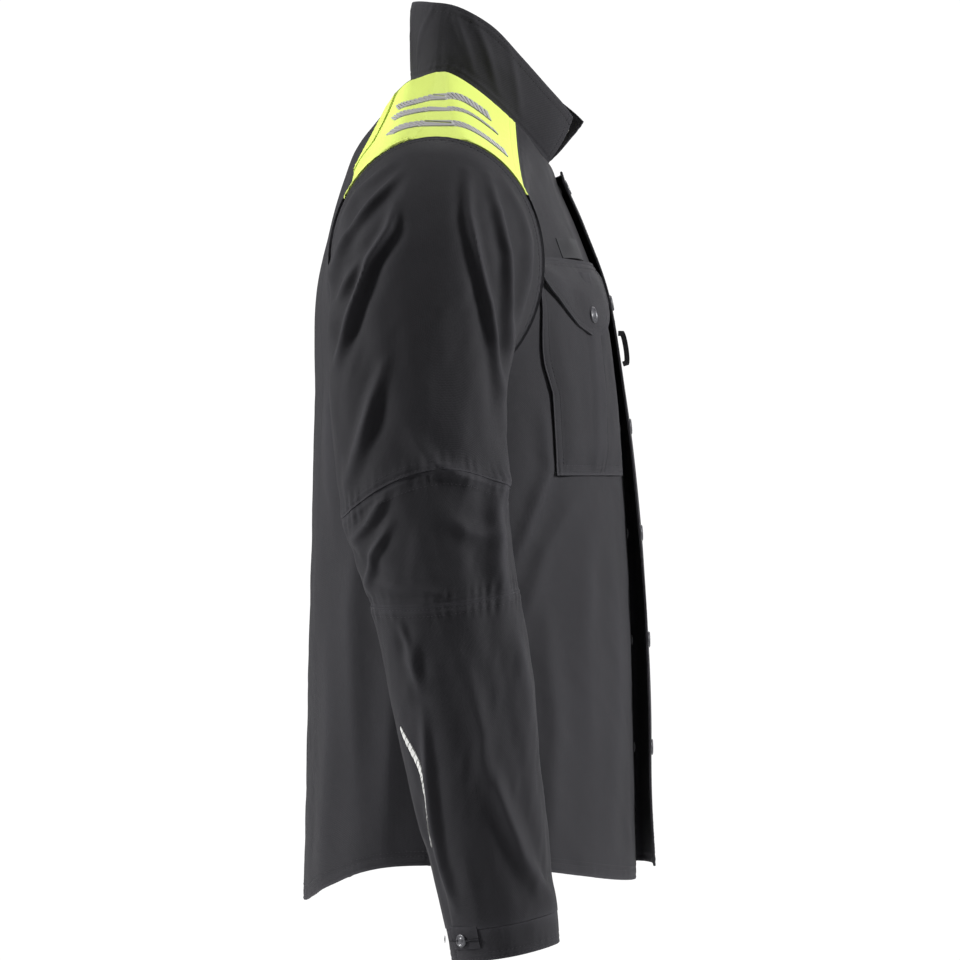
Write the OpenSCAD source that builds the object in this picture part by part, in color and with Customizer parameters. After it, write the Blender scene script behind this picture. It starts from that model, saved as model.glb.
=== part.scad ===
// Lightweight firefighter's work jacket, closed, on an upright body.
// +Z is up, the front faces -Y, and +X is the wearer's left.
// The origin is the hanger loop at the inside back neck.

/* [Body] */
// Half of the chest width
chest_half = 227; // [222:1:228]
// How much further out each side reaches at the hem
hem_flare = 8; // [0:1:12]
// How far the shoulder tip lies below the neck
shoulder_drop = 74; // [66:1:80]
// Depth of the back hem below the back neck
back_length = 746; // [700:2:756]
// Depth of the front hem below the back neck
front_length = 730; // [700:2:740]
// Depth of the hem at the side seams
side_length = 700; // [680:2:720]
// Thickness of the shell cloth
cloth = 1.6; // [1:0.1:2]
// Gap left at a seam between two panels
seam_gap = 0.5; // [0.3:0.1:1]

/* [Neck] */
// Half width of the neck opening
neck_half = 78; // [72:1:84]
// Height of the collar above the back neck seam
collar_height = 71; // [60:1:80]

/* [Armhole] */
// Height of the armhole oval
armhole_height = 224; // [210:2:230]
// Front to back depth of the armhole oval
armhole_depth = 188; // [176:2:196]
// Gap between the body side and the sleeve head
armhole_gap = 2; // [1.5:0.5:4]

/* [Front closure] */
// Distance of each front edge from the centre line
front_edge = 9; // [8:0.5:12]
// Where the storm flap is sewn on, left of the centre line
flap_seam_x = 28; // [24:1:34]
// Where the storm flap's free edge lies, right of the centre line
flap_free_x = -34; // [-40:1:-28]
// Height at which the storm flap starts to open
flap_split_z = -293; // [-300:1:-290]
// Travel of the zip slider
zip_travel = 380; // [300:5:385]

/* [Pockets] */
// Height of the pocket flap's seam
pocket_top_z = -172; // [-180:1:-165]
// Height of the pocket's lower edge
pocket_bottom_z = -362; // [-370:1:-340]
// Diameter of a snap cap
snap_d = 15; // [12:0.5:16]

/* [Hidden] */

black = [0.17, 0.16, 0.19];
yellow = [0.86, 0.93, 0.40];
silver = [0.75, 0.76, 0.78];
metal = [0.30, 0.30, 0.32];

// Centre-line profile over the body: distance along it (front negative), then Y and Z
profile = [[-841, -204, -771], [-786, -203, -716], [-639, -200, -569], [-510, -196, -440],
    [-362, -185, -293], [-268, -171, -200], [-202, -148, -136], [-162, -132, -100], [-132, -123, -77],
    [-85, -90, -43], [-33, -50, -10], [0, -22, 3.5], [27, 4, 0], [53, 20, -20], [109, 51, -67],
    [144, 64, -99], [183, 75, -136], [249, 89, -200], [342, 90, -293], [489, 93, -440],
    [618, 97, -569], [765, 101, -716], [820, 102, -771]];
// Neck seam: angle round the neck from the back, then distance along the profile
neck_route = [[0, 27], [30, 22], [60, 12], [90, -13], [110, -42], [130, -75], [150, -105], [165, -124],
    [180, -132]];
// Collar top edge: angle round the neck, then Y and Z for a collar 71 high
collar_edge = [[0, 4, 71], [30, 1, 70], [60, -14, 67], [90, -42, 61], [110, -72, 44], [130, -98, 18],
    [150, -122, -7], [165, -137, -22], [180, -148, -35]];
// Yoke edge on the back: distance from the centre, then distance along the profile
yoke_back_edge = [[0, 60], [100, 50], [118, 50], [142, 64], [165, 90], [190, 92], [227, 85]];
yoke_front_t = -87;      // the yoke's front edge along the profile
yoke_front_angle = 137;  // the same edge's angle round the neck
yoke_tip_angle = 40;     // angle round the neck that leads to the yoke's back tip
// Sleeve rings for an armhole plane at X 229: station, inner X and Z, outer X and Z, centre Y, depth, tilt and arch of the ring
sleeve_route = [[0, 229, -290, 229, -66, -22, 188, 0, 0], [0.2, 230, -293, 264, -86, -19, 179, 0, 0],
    [0.4, 232, -298, 297, -128, -13, 170, -2, 0], [0.6, 235, -306, 318, -185, -9, 159, -5, -5],
    [0.8, 240, -325, 330, -260, -7, 149, -9, -14], [1, 249, -362, 341, -359, -14, 141, -12, -26],
    [2, 259, -471, 353, -471, -30, 127, -7, 5], [2.3, 268, -553, 358, -553, -45, 120, -8, 2],
    [2.6, 275, -639, 360, -639, -59, 109, -8, 2], [3, 280, -740, 360, -740, -77, 96, -8, 2],
    [3.2, 281, -766, 361, -766, -81, 93, -8, 2]];

mid_y = -22;                                   // plane of the shoulder ridge and side seams
armhole_z = -66 - armhole_height / 2;          // centre of the armhole
stripe_at = [0.36, 0.54, 0.75];                // stripes, as shares of the way down the shoulder
stripe_half = 0.05;                            // half of a stripe's width, in the same share
yoke_rows = [0, 0.15, for (u = stripe_at) each [u - stripe_half, u + stripe_half], 1];
yoke_step = yoke_front_angle / 24;             // angle between two columns of the yoke's grid
zip_top = [0, -180, -296];                     // top of the zip's straight stretch
zip_tilt = atan(18 / 423);
zip_length = zip_travel + 38;
snap_z = [-102, -206, -318, -415, -512, -610]; // storm flap snaps, the first two on the fixed part
snap_x = -26;

// Smooth curve through a table
function spot(t, tab, i = 0) = i >= len(tab) - 2 || t < tab[i + 1][0] ? i : spot(t, tab, i + 1);
function slope(tab, i, k) = let (a = max(0, i - 1), b = min(len(tab) - 1, i + 1))
    (tab[b][k] - tab[a][k]) / (tab[b][0] - tab[a][0]);
function smooth(t, tab, k = 1) = let (i = spot(t, tab), h = tab[i + 1][0] - tab[i][0],
    q = (t - tab[i][0]) / h, m = slope(tab, i, k) * h, n = slope(tab, i + 1, k) * h)
    tab[i][k] * (2 * q ^ 3 - 3 * q ^ 2 + 1) + m * (q ^ 3 - 2 * q ^ 2 + q)
    + tab[i + 1][k] * (3 * q ^ 2 - 2 * q ^ 3) + n * (q ^ 3 - q ^ 2);
function clamp(v) = min(1, max(0, v));
function ease(v) = let (q = clamp(v)) q * q * (3 - 2 * q);
function mix(a, b, q) = a + (b - a) * q;
function unit(v) = v / norm(v);

// Body surface: r is the share of the half width, e the matching share of the depth
function chord(q, e, full) = abs(q) < 1 ? armhole_depth / 2 * (1 - q * q) ^ (0.5 + 2 * e * (1 - full)) : 0;
function body_at(r, e, t) = let (yc = smooth(t, profile, 1) - mid_y, zc = smooth(t, profile, 2),
    down = clamp((chest_half * abs(r) - neck_half) / (chest_half - neck_half)),
    z = zc - shoulder_drop * down * ease((zc + 290) / 244),
    half = chest_half + hem_flare * clamp((-290 - z) / 480),
    q = (z - shoulder_drop * (1 - down) - armhole_z) / (armhole_height / 2),
    full = ease((q - 0.1) / 0.4), s = chord(q, e, full))
    [half * r, mid_y + (t < 0 ? -s * (1 - e) ^ (2 - full) : s * (1 - e) ^ (1 - 0.2 * full)) + yc * e, z];
function power(t) = t < 0 ? 2 : 3;
function panel_point(a, t) = let (n = power(t))
    body_at(sign(a) * abs(sin(a)) ^ (2 / n), max(0, cos(a)) ^ (2 / n), t);
function body_point(x, t) = let (r = x / chest_half, n = power(t))
    body_at(r, max(0, 1 - abs(r) ^ n) ^ (1 / n), t);
function panel_out(a, t, off) = panel_point(a, t) + off * unit(cross(
    panel_point(min(90, a + 0.5), t) - panel_point(max(-90, a - 0.5), t),
    panel_point(a, t + 1) - panel_point(a, t - 1)));
function body_out(x, t, off) = body_point(x, t) + off * unit(cross(
    body_point(min(chest_half, x + 1), t) - body_point(max(-chest_half, x - 1), t),
    body_point(x, t + 1) - body_point(x, t - 1)));

// Distance along the profile at which a column reaches height z
function find_t(a, z, lo, hi, n = 14) = let (m = (lo + hi) / 2)
    n == 0 ? m : (panel_point(a, m)[2] > z) == (hi > 0) ? find_t(a, z, m, hi, n - 1)
    : find_t(a, z, lo, m, n - 1);
function front_t(a, z) = find_t(a, z, -841, -60);
function back_t(a, z) = find_t(a, z, 60, 820);
function angle_of(x) = asin(min(1, abs(x) / chest_half));

// Neck seam and yoke
function neck_t(p) = smooth(abs(p), neck_route);
function neck_x(p) = neck_half * sin(p);
function yoke_rim(p) = abs(p) < yoke_tip_angle
    ? let (x = chest_half * abs(p) / yoke_tip_angle) [sign(p) * x, lookup(x, yoke_back_edge)]
    : [sign(p) * chest_half, mix(85, yoke_front_t,
        (abs(p) - yoke_tip_angle) / (yoke_front_angle - yoke_tip_angle))];
function yoke_point(p, u, off) = let (rim = yoke_rim(p))
    body_out(mix(neck_x(p), rim[0], u), mix(neck_t(p), rim[1], u), off);

// Sleeve surface of the left arm: station v, angle a from the outer side towards the back
function sleeve_point(v, a, off) = let (q = [for (k = [1:8]) smooth(v, sleeve_route, k)],
    shift = chest_half + armhole_gap - 229, inner = [q[0] + shift, q[4], q[1]],
    outer = [q[2] + shift, q[4], q[3]], reach = norm(outer - inner) / 2 + off)
    (inner + outer) / 2 + cos(a) * reach * unit(outer - inner)
    + [0, sin(a) * (q[5] / 2 + off), q[6] * sin(a) + q[7] * sin(a) ^ 2];

// A closed sheet between two grids of points; columns cross rows point outwards
module sheet(a, b, closed = false) {
    m = len(a);
    n = len(a[0]);
    k = m * n;
    cols = closed ? n - 1 : n - 2;
    function id(i, j) = i * n + j % n;
    ends = closed ? [] : [for (i = [0:m - 2]) each [
        [id(i + 1, 0), id(i, 0), id(i, 0) + k], [id(i + 1, 0), id(i, 0) + k, id(i + 1, 0) + k],
        [id(i, n - 1), id(i + 1, n - 1), id(i + 1, n - 1) + k],
        [id(i, n - 1), id(i + 1, n - 1) + k, id(i, n - 1) + k]]];
    faces = [for (i = [0:m - 2], j = [0:cols]) each [
        [id(i, j), id(i + 1, j), id(i + 1, j + 1)], [id(i, j), id(i + 1, j + 1), id(i, j + 1)],
        [id(i + 1, j + 1) + k, id(i + 1, j) + k, id(i, j) + k],
        [id(i, j + 1) + k, id(i + 1, j + 1) + k, id(i, j) + k]]];
    rims = [for (j = [0:cols]) each [
        [id(0, j), id(0, j + 1), id(0, j + 1) + k], [id(0, j), id(0, j + 1) + k, id(0, j) + k],
        [id(m - 1, j + 1), id(m - 1, j), id(m - 1, j) + k],
        [id(m - 1, j + 1), id(m - 1, j) + k, id(m - 1, j + 1) + k]]];
    polyhedron([for (row = a) each row, for (row = b) each row], concat(faces, rims, ends));
}

// Places children at a point with their +Z along a direction
module at(p, d) {
    translate(p) rotate([0, acos(d[2] / norm(d)), atan2(d[1], d[0])]) children();
}

// Domed cap of a snap, standing on z = 0
module snap_cap() {
    rotate_extrude($fn = 32)
        polygon([[0, 0], [snap_d / 2, 0], [snap_d / 2, 0.6], [snap_d / 2 - 0.8, 1.3],
            [snap_d / 2 - 2.4, 1.5], [snap_d / 2 - 3, 1.2], [0, 1.7]]);
}

// Low stud of a snap, standing on z = 0
module snap_stud() {
    cylinder(d = 9, h = 0.4, $fn = 32);
    translate([0, 0, 0.4]) cylinder(d = 4, h = 0.5, $fn = 32);
}

// Body panels
module panel(angles, lows, highs, rows, off = 0, thick = cloth) {
    grid = function (o) [for (i = [0:rows]) [for (j = [0:len(angles) - 1])
        panel_out(angles[j], mix(lows[j], highs[j], i / rows), o)]];
    sheet(grid(off), grid(off - thick));
}

module back_panel() {
    angles = [for (j = [-8:8]) j * 89.8 / 8];
    tops = [for (a = angles) lookup(min(chest_half, chest_half * abs(sin(a)) ^ (2 / 3)),
        yoke_back_edge) + 8 * seam_gap];
    hems = [for (a = angles) back_t(a, mix(-back_length, -side_length, sin(a) ^ 2))];
    color(black) panel(angles, tops, hems, 18);
}

function front_top(a) = let (x = chest_half * sin(a))
    x < neck_x(yoke_front_angle) ? neck_t(180 - asin(x / neck_half)) - seam_gap : yoke_front_t - seam_gap;

module front_panel() {
    angles = [asin(front_edge / chest_half), 7, 13.5, 22, 32, 42, 52, 62, 72, 81, 89.8];
    hems = [for (a = angles) front_t(a, mix(-front_length, -side_length, sin(a) ^ 2))];
    color(black) panel(angles, hems, [for (a = angles) front_top(a)], 26);
}

module front_facing() {
    angles = [asin(front_edge / chest_half), 7, 13.5];
    lows = [for (a = angles) front_t(a, 20 - front_length)];
    color(black) panel(angles, lows, [for (a = angles) front_top(a) - 12], 26, -cloth - 2, 0.8);
}

module shoulder_yoke() {
    grid = function (o) [for (u = yoke_rows) [for (j = [-24:24])
        yoke_point(j * yoke_step, u, o)]];
    color(yellow) sheet(grid(0), grid(-cloth));
}

module yoke_stripes() {
    color(silver) for (u = stripe_at) {
        grid = function (o) [for (w = [-stripe_half, stripe_half]) [for (j = [9:21])
            yoke_point(j * yoke_step, u + w, o)]];
        sheet(grid(1.6), grid(1.1));
    }
}

// Collar
function collar_top(p) = [72 * sin(p), smooth(abs(p), collar_edge, 1),
    smooth(abs(p), collar_edge, 2) * (collar_height / 71)];
function collar_point(p, q, off) = let (low = body_point(neck_x(p), neck_t(p)) + [0, 0, 0.8],
    top = collar_top(p), out = unit([sin(p), cos(p), 0.15]))
    mix(low, top, q) + out * (off + 2 * sin(180 * q));

module collar(low, high, off, thick) {
    grid = function (o) [for (i = [0:4]) [for (j = [-14:14])
        collar_point(j * 176 / 14, mix(high, low, i / 4), o)]];
    color(black) sheet(grid(off), grid(off - thick));
}

module hanger_loop() {
    color(black) translate([0, -8, -2]) rotate([90, 180, 0])
        rotate_extrude(angle = 180, $fn = 48) translate([26, -3]) square([2, 6]);
}

// Pockets
snap_q = 0.39;
pocket_in = 12;
function pocket_out(z) = mix(52, 64, clamp((z + 290) / 118));
function pocket_spot(q, z, off) = let (a = mix(pocket_in, pocket_out(z), q))
    panel_out(a, front_t(a, z), off);

module pocket_body() {
    grid = function (o) [for (i = [0:8]) [for (j = [0:8])
        pocket_spot(j / 8, mix(pocket_bottom_z, pocket_top_z - 14, i / 8),
            o + 1.2 * sin(22.5 * j) * sin(22.5 * i))]];
    color(black) sheet(grid(3.1), grid(1.9));
}

function flap_low(q) = pocket_top_z - lookup(q, [[0, 42], [0.2, 57], [0.4, 67], [0.6, 59], [0.8, 34], [1, 18]]);

module pocket_flap() {
    grid = function (o) [for (i = [0:4]) [for (j = [0:10])
        pocket_spot(j / 10, mix(flap_low(j / 10), pocket_top_z - 12, i / 4), o)]];
    color(black) sheet(grid(7.3), grid(5.7));
}

snap_pocket_z = pocket_top_z - 48;
module at_pocket_snap(off) {
    p = pocket_spot(snap_q, snap_pocket_z, off);
    at(p, pocket_spot(snap_q, snap_pocket_z, off + 1) - p) children();
}

module pocket_snap() {
    color(metal) at_pocket_snap(7.8) snap_cap();
}

module pen_loop() {
    grid = function (o) [for (i = [0:2]) [for (j = [0:6])
        pocket_spot(0.15 + 0.33 * j / 6, pocket_top_z + 4 + 9 * i, o + 2.5 * sin(30 * j))]];
    color(black) sheet(grid(2.2), grid(1.1));
}

// Zip: a curved upper stretch, and a straight stretch that the slider runs on
module on_zip() {
    translate(zip_top) rotate([-zip_tilt, 0, 0]) children();
}

module zip_strip(near, far, front, thick, length) {
    top_t = -150;
    low_t = find_t(0, zip_top[2] + 3, -841, -60);
    grid = function (o) [for (i = [0:6]) [for (x = [near, far]) body_out(x, mix(low_t, top_t, i / 6), o)]];
    sheet(grid(-6), grid(-6 - thick));
    on_zip() translate([near, front, -length]) cube([far - near, thick, length]);
}

module zip_tape() {
    color(black) zip_strip(3.5, 16, -0.4, 0.8, zip_length);
}

module zip_teeth() {
    color(metal) zip_strip(0.8, 3.2, -1, 2, zip_length - 9);
}

module zip_top_stops() {
    color(metal) for (s = [-1, 1]) translate([s * 2.2, -126, -90.5]) cube([2.4, 3, 4], center = true);
}

module zip_box() {
    color(metal) on_zip() translate([0, 0, 5 - zip_length]) cube([6.6, 3.4, 7.4], center = true);
}

module zip_slider() {
    color(metal) on_zip() translate([0, 0, -9]) {
        for (s = [-1, 1]) translate([0, s * 2.1, 0]) cube([10, 1.2, 13], center = true);
        cube([0.9, 4.2, 6], center = true);
        translate([0, -2.9, 3]) cube([3, 0.5, 2], center = true);
    }
}

module zip_pull() {
    color(metal) on_zip() translate([0, -4.4, -6]) difference() {
        translate([-3, 0, -24]) cube([6, 1, 26]);
        translate([0, -1, -19]) rotate([-90, 0, 0]) cylinder(d = 3, h = 3, $fn = 24);
    }
}

// Storm flap
function flap_off(x, z) = 2 + mix(5, 11, ease((-220 - z) / 260)) * sqrt(clamp((flap_seam_x - x) / 26));
function flap_point(x, t, off) = body_out(x, t, off + flap_off(x, body_point(x, t)[2]));
flap_xs = [flap_free_x, -22, -8, 8, 18, flap_seam_x - 4];

module flap_sheet(low, high, rows) {
    grid = function (o) [for (i = [0:rows]) [for (x = flap_xs)
        flap_point(x, front_t(angle_of(x), mix(low, high, i / rows)), o)]];
    color(black) sheet(grid(1.5), grid(0));
}

function flap_spot(z, off) = flap_point(snap_x, front_t(angle_of(snap_x), z), off);
module at_flap_snap(z, off) {
    p = flap_spot(z, off);
    at(p, flap_spot(z, off + 1) - p) children();
}

module flap_snaps(zs) {
    color(metal) for (z = zs) at_flap_snap(z, 2.1) snap_cap();
}

module placket_studs() {
    color(metal) for (z = snap_z) {
        t = front_t(angle_of(snap_x), z);
        p = body_out(snap_x, t, 0.9);
        at(p, body_out(snap_x, t, 1.9) - p) snap_stud();
    }
}

module front_loop() {
    grid = function (o) [for (i = [0:10]) [for (x = [-18, -6])
        flap_point(x, front_t(angle_of(x), mix(-262, -231, i / 10)), o + 7.5 * sqrt(sin(18 * i)))]];
    color(black) sheet(grid(3), grid(1.8));
}

// Sleeves, drawn for the left arm
module sleeve_tube(v0, v1, rows, off = 0, thick = cloth) {
    grid = function (o) [for (i = [rows:-1:0]) [for (j = [0:23])
        sleeve_point(mix(v0, v1, i / rows), 15 * j, o)]];
    color(black) sheet(grid(off), grid(off - thick), closed = true);
}

module sleeve_patch(v0, v1, a0, a1, rows, cols, off, thick) {
    grid = function (o) [for (i = [rows:-1:0]) [for (j = [0:cols])
        sleeve_point(mix(v0, v1, i / rows), mix(a0, a1, j / cols), o)]];
    sheet(grid(off), grid(off - thick));
}

module sleeve_piping() {
    // A narrow crescent that leaves the back seam, bulges forward and comes back to it
    grid = function (o) [for (i = [18:-1:0]) [for (j = [0:1]) sleeve_point(mix(2.36, 2.72, i / 18),
        64 - 16 * sin(180 * i / 18) + 4 * j, o)]];
    color(silver) sheet(grid(0.9), grid(0.3));
}

module cuff_tab() {
    color(black) sleeve_patch(2.985, 3.105, 24, 60, 2, 8, 2, 1.4);
}

module at_cuff(a, off) {
    p = sleeve_point(3.045, a, off);
    at(p, sleeve_point(3.045, a, off + 1) - p) children();
}

module cuff_snaps() {
    color(metal) at_cuff(44, 3.4) scale(0.72) snap_cap();
}

module sided(right) {
    if (right) mirror([1, 0, 0]) children();
    else children();
}

back_panel();
sided(true) front_panel();  // front_panel_right
sided(false) front_panel();  // front_panel_left
shoulder_yoke();
sided(true) yoke_stripes();  // yoke_stripes_right
sided(false) yoke_stripes();  // yoke_stripes_left
collar(0, 1, 0, 1.4);  // collar_outer
collar(0.03, 0.97, -1.8, 1.2);  // collar_lining
hanger_loop();
sided(true) front_facing();  // front_facing_right
sided(false) front_facing();  // front_facing_left
sided(true) pocket_body();  // pocket_body_right
sided(false) pocket_body();  // pocket_body_left
union() {  // pocket_studs
    for (right = [true, false]) sided(right) color(metal) at_pocket_snap(4.2) snap_stud();
}
sided(true) pen_loop();  // pen_loop_right
sided(false) pen_loop();  // pen_loop_left
sided(true) pocket_flap();  // pocket_flap_right
sided(false) pocket_flap();  // pocket_flap_left
sided(true) pocket_snap();  // pocket_snap_right
sided(false) pocket_snap();  // pocket_snap_left
sided(true) zip_tape();  // zip_tape_right
sided(false) zip_tape();  // zip_tape_left
sided(true) zip_teeth();  // zip_teeth_right
sided(false) zip_teeth();  // zip_teeth_left
zip_top_stops();
zip_box();
zip_slider();
zip_pull();
flap_sheet(flap_split_z, -88, 16);  // storm_flap_top
flap_sheet(-718, flap_split_z - 3, 14);  // storm_flap
flap_snaps([snap_z[0], snap_z[1]]);  // storm_snaps_top
flap_snaps([for (i = [2:5]) snap_z[i]]);  // storm_snaps
placket_studs();
front_loop();
sided(true) sleeve_tube(0, 0.996, 12);  // sleeve_upper_right
sided(false) sleeve_tube(0, 0.996, 12);  // sleeve_upper_left
sided(true) sleeve_tube(1, 2, 5);  // elbow_panel_right
sided(false) sleeve_tube(1, 2, 5);  // elbow_panel_left
sided(true) sleeve_tube(2.004, 2.996, 8);  // sleeve_lower_right
sided(false) sleeve_tube(2.004, 2.996, 8);  // sleeve_lower_left
sided(true) sleeve_piping();  // sleeve_piping_right
sided(false) sleeve_piping();  // sleeve_piping_left
sided(true) sleeve_tube(3, 3.2, 2, 0, 2.4);  // cuff_band_right
sided(false) sleeve_tube(3, 3.2, 2, 0, 2.4);  // cuff_band_left
sided(true) cuff_tab();  // cuff_tab_right
sided(false) cuff_tab();  // cuff_tab_left
sided(true) cuff_snaps();  // cuff_snaps_right
sided(false) cuff_snaps();  // cuff_snaps_left
sided(true) color(metal) at_cuff(84, 0.8) scale(0.7) snap_stud();  // cuff_studs_right
sided(false) color(metal) at_cuff(84, 0.8) scale(0.7) snap_stud();  // cuff_studs_left
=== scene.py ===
import math

import bpy
import numpy as np
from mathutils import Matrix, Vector


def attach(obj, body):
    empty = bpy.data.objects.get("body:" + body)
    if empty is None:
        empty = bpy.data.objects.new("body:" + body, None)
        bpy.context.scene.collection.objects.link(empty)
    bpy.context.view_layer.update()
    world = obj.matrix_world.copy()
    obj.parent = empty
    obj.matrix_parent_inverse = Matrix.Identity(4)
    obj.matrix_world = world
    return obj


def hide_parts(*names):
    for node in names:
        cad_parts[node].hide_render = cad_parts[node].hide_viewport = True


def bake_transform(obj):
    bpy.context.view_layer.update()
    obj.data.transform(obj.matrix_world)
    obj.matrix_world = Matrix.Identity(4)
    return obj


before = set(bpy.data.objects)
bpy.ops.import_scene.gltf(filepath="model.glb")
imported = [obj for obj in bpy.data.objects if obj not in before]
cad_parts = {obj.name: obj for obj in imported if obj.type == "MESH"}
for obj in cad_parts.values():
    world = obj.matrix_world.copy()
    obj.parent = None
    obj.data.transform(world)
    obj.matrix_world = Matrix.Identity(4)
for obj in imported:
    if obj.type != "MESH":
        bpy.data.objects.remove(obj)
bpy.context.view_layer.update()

SIDES = (("right", -1), ("left", 1))

# The coat's surface, as in part.scad: lengths in millimetres, angles in degrees.
chest_half, hem_flare, shoulder_drop, neck_half = 227, 8, 74, 78
back_length, front_length, side_length = 746, 730, 700
mid_y, armhole_z, armhole_height, armhole_depth = -22, -178, 224, 188
pocket_top, pocket_bottom, flap_seam_x, flap_free_x = -172, -362, 28, -34
flap_top_z, flap_joint_z, flap_bottom_z = -87, -295.3, -718
snap_heights = (-102, -206, -318, -415, -512, -610)
zip_top, zip_tilt, zip_length = np.array([0, -180, -296]), math.atan(18 / 423), 418

profile = np.array([
    [-841, -204, -771], [-786, -203, -716], [-639, -200, -569], [-510, -196, -440],
    [-362, -185, -293], [-268, -171, -200], [-202, -148, -136], [-162, -132, -100],
    [-132, -123, -77], [-85, -90, -43], [-33, -50, -10], [0, -22, 3.5], [27, 4, 0],
    [53, 20, -20], [109, 51, -67], [144, 64, -99], [183, 75, -136], [249, 89, -200],
    [342, 90, -293], [489, 93, -440], [618, 97, -569], [765, 101, -716], [820, 102, -771]], float)
neck_route = np.array([
    [0, 27], [30, 22], [60, 12], [90, -13], [110, -42], [130, -75], [150, -105], [165, -124],
    [180, -132]], float)
collar_edge = np.array([
    [0, 4, 71], [30, 1, 70], [60, -14, 67], [90, -42, 61], [110, -72, 44], [130, -98, 18],
    [150, -122, -7], [165, -137, -22], [180, -148, -35]], float)
yoke_back_edge = np.array([
    [0, 60], [80, 51], [92, 51], [116, 67], [134, 68], [139, 102], [162, 98], [227, 86]], float)
# Station, inner X and Z, outer X and Z, centre Y, depth, tilt and arch of each sleeve ring.
sleeve_route = np.array([
    [0, 229, -290, 229, -66, -22, 188, 0, 0], [0.2, 230, -293, 264, -86, -19, 179, 0, 0],
    [0.4, 232, -298, 297, -128, -13, 170, -2, 0], [0.6, 235, -306, 318, -185, -9, 159, -5, -5],
    [0.8, 240, -325, 330, -260, -7, 149, -9, -14], [1, 249, -362, 341, -359, -14, 141, -12, -26],
    [2, 259, -471, 353, -471, -30, 127, -7, 5], [2.3, 268, -553, 358, -553, -45, 120, -8, 2],
    [2.6, 275, -639, 360, -639, -59, 109, -8, 2], [3, 280, -740, 360, -740, -77, 96, -8, 2],
    [3.2, 281, -766, 361, -766, -81, 93, -8, 2]], float)


def smooth(t, table, column=1):
    """Smooth curve through a table's rows."""
    x, y = table[:, 0], table[:, column]
    last = len(x) - 1
    below, above = np.maximum(np.arange(last + 1) - 1, 0), np.minimum(np.arange(last + 1) + 1, last)
    slope = (y[above] - y[below]) / (x[above] - x[below])
    t = np.asarray(t, float)
    i = np.clip(np.searchsorted(x, t, side="right") - 1, 0, last - 1)
    h = x[i + 1] - x[i]
    q = (t - x[i]) / h
    return (y[i] * (2 * q**3 - 3 * q**2 + 1) + slope[i] * h * (q**3 - 2 * q**2 + q)
            + y[i + 1] * (3 * q**2 - 2 * q**3) + slope[i + 1] * h * (q**3 - q**2))


def ease(v):
    q = np.clip(v, 0, 1)
    return q * q * (3 - 2 * q)


def mix(a, b, q):
    return a + (b - a) * q


def sind(a):
    return np.sin(np.radians(a))


def cosd(a):
    return np.cos(np.radians(a))


def unit(v):
    return v / np.maximum(np.linalg.norm(v, axis=-1, keepdims=True), 1e-9)


def xyz(x, y, z):
    return np.stack(np.broadcast_arrays(x, y, z), -1).astype(float)


def body_at(r, e, t):
    """Point of the body: r is the share of the half width, e the matching share of the depth."""
    depth = smooth(t, profile, 1) - mid_y
    height = smooth(t, profile, 2)
    down = np.clip((chest_half * np.abs(r) - neck_half) / (chest_half - neck_half), 0, 1)
    z = height - shoulder_drop * down * ease((height + 290) / 244)
    slope_down = ease(chest_half * np.abs(r) / neck_half) * (1 - ease((chest_half * np.abs(r) - 90) / 137))
    z = z - 7 * slope_down * ease((t + 10) / 30) * (1 - ease((t - 60) / 60))
    half = chest_half + hem_flare * np.clip((-290 - z) / 480, 0, 1)
    q = (z - shoulder_drop * (1 - down) - armhole_z) / (armhole_height / 2)
    full = ease((q - 0.1) / 0.4)
    chord = armhole_depth / 2 * np.maximum(1 - q * q, 0) ** (0.5 + 2 * e * (1 - full))
    side = np.where(t < 0, -chord * (1 - e) ** (2 - full), chord * (1 - e) ** (1 - 0.2 * full))
    return xyz(half * r, mid_y + side + depth * e, z)


def panel_point(a, t):
    n = np.where(np.asarray(t) < 0, 2, 3)
    return body_at(np.sign(a) * np.abs(sind(a)) ** (2 / n), np.maximum(cosd(a), 0) ** (2 / n), t)


def body_point(x, t):
    n = np.where(np.asarray(t) < 0, 2, 3)
    r = np.clip(np.asarray(x) / chest_half, -1, 1)
    return body_at(r, np.maximum(1 - np.abs(r) ** n, 0) ** (1 / n), t)


def panel_out(a, t, off):
    across = panel_point(np.minimum(a + 0.5, 90), t) - panel_point(np.maximum(a - 0.5, -90), t)
    along = panel_point(a, t + 1) - panel_point(a, t - 1)
    return panel_point(a, t) + np.asarray(off)[..., None] * unit(np.cross(across, along))


def body_out(x, t, off):
    across = (body_point(np.minimum(x + 1, chest_half), t)
              - body_point(np.maximum(x - 1, -chest_half), t))
    along = body_point(x, t + 1) - body_point(x, t - 1)
    return body_point(x, t) + np.asarray(off)[..., None] * unit(np.cross(across, along))


def find_t(a, z, low, high):
    """Distance along the profile at which a column reaches height z."""
    a, z = np.broadcast_arrays(np.asarray(a, float), np.asarray(z, float))
    low, high = np.full(a.shape, float(low)), np.full(a.shape, float(high))
    back = high > 0
    for _ in range(16):
        middle = (low + high) / 2
        up = (panel_point(a, middle)[..., 2] > z) == back
        low, high = np.where(up, middle, low), np.where(up, high, middle)
    return (low + high) / 2


def front_t(a, z):
    return find_t(a, z, -841, -60)


def back_t(a, z):
    return find_t(a, z, 60, 820)


def angle_of(x):
    return np.degrees(np.arcsin(np.minimum(1, np.abs(x) / chest_half)))


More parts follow.
